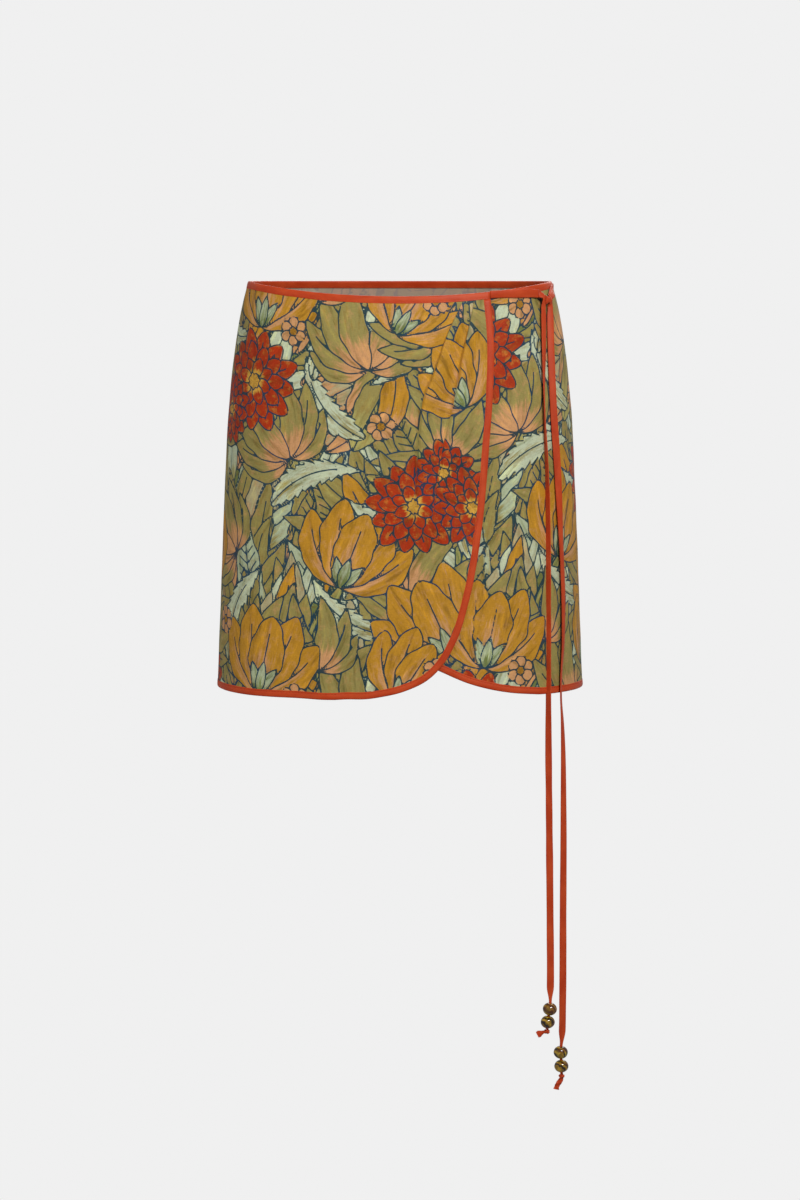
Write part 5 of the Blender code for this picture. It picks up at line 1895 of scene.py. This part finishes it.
def front_grid(edge, side, mesh, shares=None):
    """Places on the flat cut of a front, in rows from the waist to the hem and columns from seam to front edge."""
    line, inward = finished_edge(edge, side)
    cloth_line = line + CLOTH_INSET * inward
    top = int(np.argmax(cloth_line[:, 1] < waist_height(angle_at(cloth_line[:, 0], 0)) - CLOTH_INSET))
    corner = int(np.argmax(np.abs(inward[:, 1]) > np.abs(inward[:, 0])))
    along_edge = cloth_line[spread(cloth_line, top, corner, mesh["rows"])]
    hem_line = cloth_line[corner:]
    columns, guides = np.arange(mesh["columns"] + 1), tuck_guides(mesh["guides"])
    guided = [0, *[column for column, _ in guides], mesh["columns"]]
    u = columns / mesh["columns"] if shares is None else shares

    def between(start, stop, height):
        """Girths from the seam to the edge, through the guides."""
        if not guides:
            return start + u * (stop - start)
        return np.interp(columns, guided, [start, *[float(girth_at(height)) for _, girth_at in guides], stop])

    waist_girth = between(side * float(seam_girth(-CLOTH_INSET)), along_edge[0, 0], along_edge[0, 1])
    along_waist = np.column_stack([waist_girth, waist_height(angle_at(waist_girth, 0)) - CLOTH_INSET])
    along_waist[-1] = along_edge[0]
    hem_girth = between(hem_line[-1, 0], hem_line[0, 0], hem_line[-1, 1])
    along_hem = np.column_stack([hem_girth, np.interp(side * hem_girth, side * hem_line[:, 0], hem_line[:, 1])])
    v = np.linspace(0, 1, mesh["rows"] + 1)
    seam_heights = along_waist[0, 1] + v * (along_hem[0, 1] - along_waist[0, 1])
    along_seam = np.column_stack([side * seam_girth(seam_heights), seam_heights])
    u, v = u[None, :, None], v[:, None, None]
    grid = (1 - v) * along_waist[None] + v * along_hem[None] + (1 - u) * along_seam[:, None] + u * along_edge[:, None]
    grid -= (1 - u) * ((1 - v) * along_waist[0] + v * along_hem[0])
    grid -= u * ((1 - v) * along_waist[-1] + v * along_hem[-1])
    for row in grid[1:-1] if guides else ():
        shifts = [float(girth_at(row[column, 1])) - row[column, 0] for column, girth_at in guides]
        row[:, 0] += np.interp(columns, guided, [0, *shifts, 0])
    return grid


print("places across the upper front:", UPPER_MESH["columns"] + 1, "and down it:", UPPER_MESH["rows"] + 1)

# %% Grids of the back, and flat cuts
BACK_MESH, BACK_REVERSE = {"rows": 236, "columns": 290}, {"rows": 142, "columns": 176}
BACK_RADIUS = 156.0  # from angles to millimetres on the flat cut
TUCK_TAKES = 17.0  # how much cloth each tuck folds in at the waist
TAKES_FROM, TAKES_HALF_WIDTH = (-270, -40), 0.4


def back_grid(mesh):
    """Places of the back as angle and height."""
    heights = np.linspace(-CLOTH_INSET, CLOTH_INSET - SKIRT_LENGTH, mesh["rows"] + 1)
    angle, height = np.meshgrid(np.linspace(math.pi / 2, 1.5 * math.pi, mesh["columns"] + 1), heights)
    return np.stack([angle, height], axis=-1)


def back_flat(grid):
    """The same places on its flat cut."""
    return np.stack([(math.pi - grid[..., 0]) * BACK_RADIUS, grid[..., 1]], axis=-1)


def upper_flat(grid):
    """The upper front as it is cut: more cloth lies folded into the waist at each tuck, so the print jumps there."""
    flat = grid.copy()
    for tuck in TUCKS:
        past_tuck = grid[..., 0] - read(tuck, "girth", grid[..., 1])
        folded = TUCK_TAKES * ease(*TAKES_FROM, grid[..., 1])
        flat[..., 0] += folded * ease(-TAKES_HALF_WIDTH, TAKES_HALF_WIDTH, past_tuck)
    return flat


print("the back is cut", round(math.pi * BACK_RADIUS), "mm wide for the print")

# %% [markdown]
# ## Closing the rim
# The face has many more vertices along its sides than the reverse, so the slit between them can't be bridged in
# pairs. It is zipped up instead: the row that is behind takes the next step, and each step leaves one triangle. The
# rim is inside the bindings, so it only has to close the mesh.


# %% Rim
def sides_of(verts, order, shape):
    """The vertices of a grid along its four sides, all the way round."""
    grid = np.empty(len(order), dtype=object)
    grid[order] = verts
    grid = grid.reshape(shape)
    return [grid[0], grid[:, -1], grid[-1, ::-1], grid[::-1, 0]]


def zip_up(bm, first, second):
    """Closes the slit between two rows of vertices with triangles, whichever row is behind going next."""
    along = [lengths_along(np.array([vert.co[:] for vert in row])) for row in (first, second)]
    along = [np.append(lengths / lengths[-1], 2.0) for lengths in along]
    i = j = 0
    while i < len(first) - 1 or j < len(second) - 1:
        if along[0][i + 1] <= along[1][j + 1] and i < len(first) - 1:
            bm.faces.new((first[i], first[i + 1], second[j])).smooth = True
            i += 1
        else:
            bm.faces.new((first[i], second[j + 1], second[j])).smooth = True
            j += 1


print("ready to close the rims")

# %% [markdown]
# ## Both layers in one mesh
# The two layers are shaped, zipped together and painted. One layer alone could only look different from behind by a
# trick in its material, which is lost in an export. So the reverse is a layer of its own. It is coarser, because its
# print is pale. The print goes with the mesh as attributes.

# %% Panels
FACE_OUT, REVERSE_OUT = 1.2, 0.5
PRINT_SHIFTS = {"upper": (0, 0), "lower": (95, 150), "back": (40, -120)}
VISIBLE_SHARE = 0.74  # of the lower front's columns lie where the upper front doesn't cover it
VISIBLE_GIRTH, COVERED_GIRTH, SHARES_HEIGHT = 84.0, -36, -200


def make_panel(name, node, place, face_grid, reverse_grid, flat_of, shift):
    """Two layers in one mesh. Shift moves the print, as panels are cut from different places of the cloth."""
    bm = bmesh.new()
    laid, sides = [], []
    for grid, out in ((face_grid, FACE_OUT), (reverse_grid, REVERSE_OUT)):
        first = len(bm.faces)
        verts, order = add_grid(bm, place(grid[..., 0], grid[..., 1], out))
        laid.append(flat_of(grid).reshape(-1, 2)[order])
        sides.append(sides_of(verts, order, grid.shape[:2]))
        bm.faces.ensure_lookup_table()
        for face in bm.faces[first:]:
            face.material_index = 0 if out == FACE_OUT else 1
    for pair in zip(*sides):
        zip_up(bm, *pair)
    face_outward(bm)
    flat = np.concatenate(laid)
    painted = paint_print(flat[:, 0] + shift[0], flat[:, 1] + shift[1])
    mesh = mesh_from(name, bm)
    values = {
        "fill": ("FLOAT_COLOR", "color", np.column_stack([painted.fill, np.ones(len(flat))])),
        "streak": ("FLOAT_COLOR", "color", np.column_stack([painted.streak, np.ones(len(flat))])),
        "amount": ("FLOAT", "value", painted.amount),
        "to_line": ("FLOAT_VECTOR", "vector", painted.to_line),
        "brush": ("FLOAT_VECTOR", "vector", painted.brush),
        "flat": ("FLOAT_VECTOR", "vector", np.column_stack([flat, np.zeros(len(flat))])),
    }
    for key, (kind, field, data) in values.items():
        mesh.attributes.new(key, kind, "POINT").data.foreach_set(field, data.astype(np.float32).ravel())
    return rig.replaces(new_piece(name, mesh, "printed_cloth", printed_cloth, cloth_reverse), node)


def uneven_shares(mesh):
    """Few columns under the overlap and many where the lower front shows, counted from its seam."""
    seam = float(seam_girth(SHARES_HEIGHT))
    shown = (seam - VISIBLE_GIRTH) / (seam - COVERED_GIRTH)
    return np.interp(np.linspace(0, 1, mesh["columns"] + 1), [0, VISIBLE_SHARE, 1], [0, shown, 1])


upper = make_panel(
    *("upper_front_cloth", "front_upper", upper_front, front_grid(UPPER_EDGE, -1, UPPER_MESH)),
    *(front_grid(UPPER_EDGE, -1, UPPER_REVERSE), upper_flat, PRINT_SHIFTS["upper"]),
)
lower_face = front_grid(LOWER_EDGE, 1, LOWER_MESH, uneven_shares(LOWER_MESH))
lower = make_panel(
    *("lower_front_cloth", "front_lower", lower_front, lower_face, front_grid(LOWER_EDGE, 1, LOWER_REVERSE)),
    *(lambda grid: grid, PRINT_SHIFTS["lower"]),
)
rear = make_panel(
    *("back_cloth", "back", back, back_grid(BACK_MESH), back_grid(BACK_REVERSE), back_flat, PRINT_SHIFTS["back"]),
)
print("panel faces:", [len(piece.data.polygons) for piece in (upper, lower, rear)])

# %% [markdown]
# ## The panels as cloth
# The three panels are free cloth that hangs from the waist binding. They are declared so, with the width and height
# of their cut and its area in square metres, so that whoever wants to let them fall knows how much cloth there is.

# %% Declared cloth
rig.sheet(upper, flat=(0.330, 0.40), held="hung", rests_on=["waist_binding_upper_strip"], area=0.1164)
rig.sheet(lower, flat=(0.281, 0.40), held="hung", rests_on=["waist_binding_lower_strip"], area=0.0937)
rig.sheet(rear, flat=(0.498, 0.40), held="hung", rests_on=["waist_binding_back_strip"], area=0.186)
print("cloth:", [piece.name for piece in (upper, lower, rear)])

# %% [markdown]
# ## Sizes
# Last, the size of the dressed skirt is written beside the size of the frame. The two should agree, because a part
# that grows when it is dressed won't fit where its frame does.

# %% Sizes
visual_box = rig.bounds()
sizes = {"cad": [list(corner) for corner in cad_box], "visual": [list(corner) for corner in visual_box]}
with open("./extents.json", "w") as handle:
    json.dump(sizes, handle)
print("sizes:", sizes)
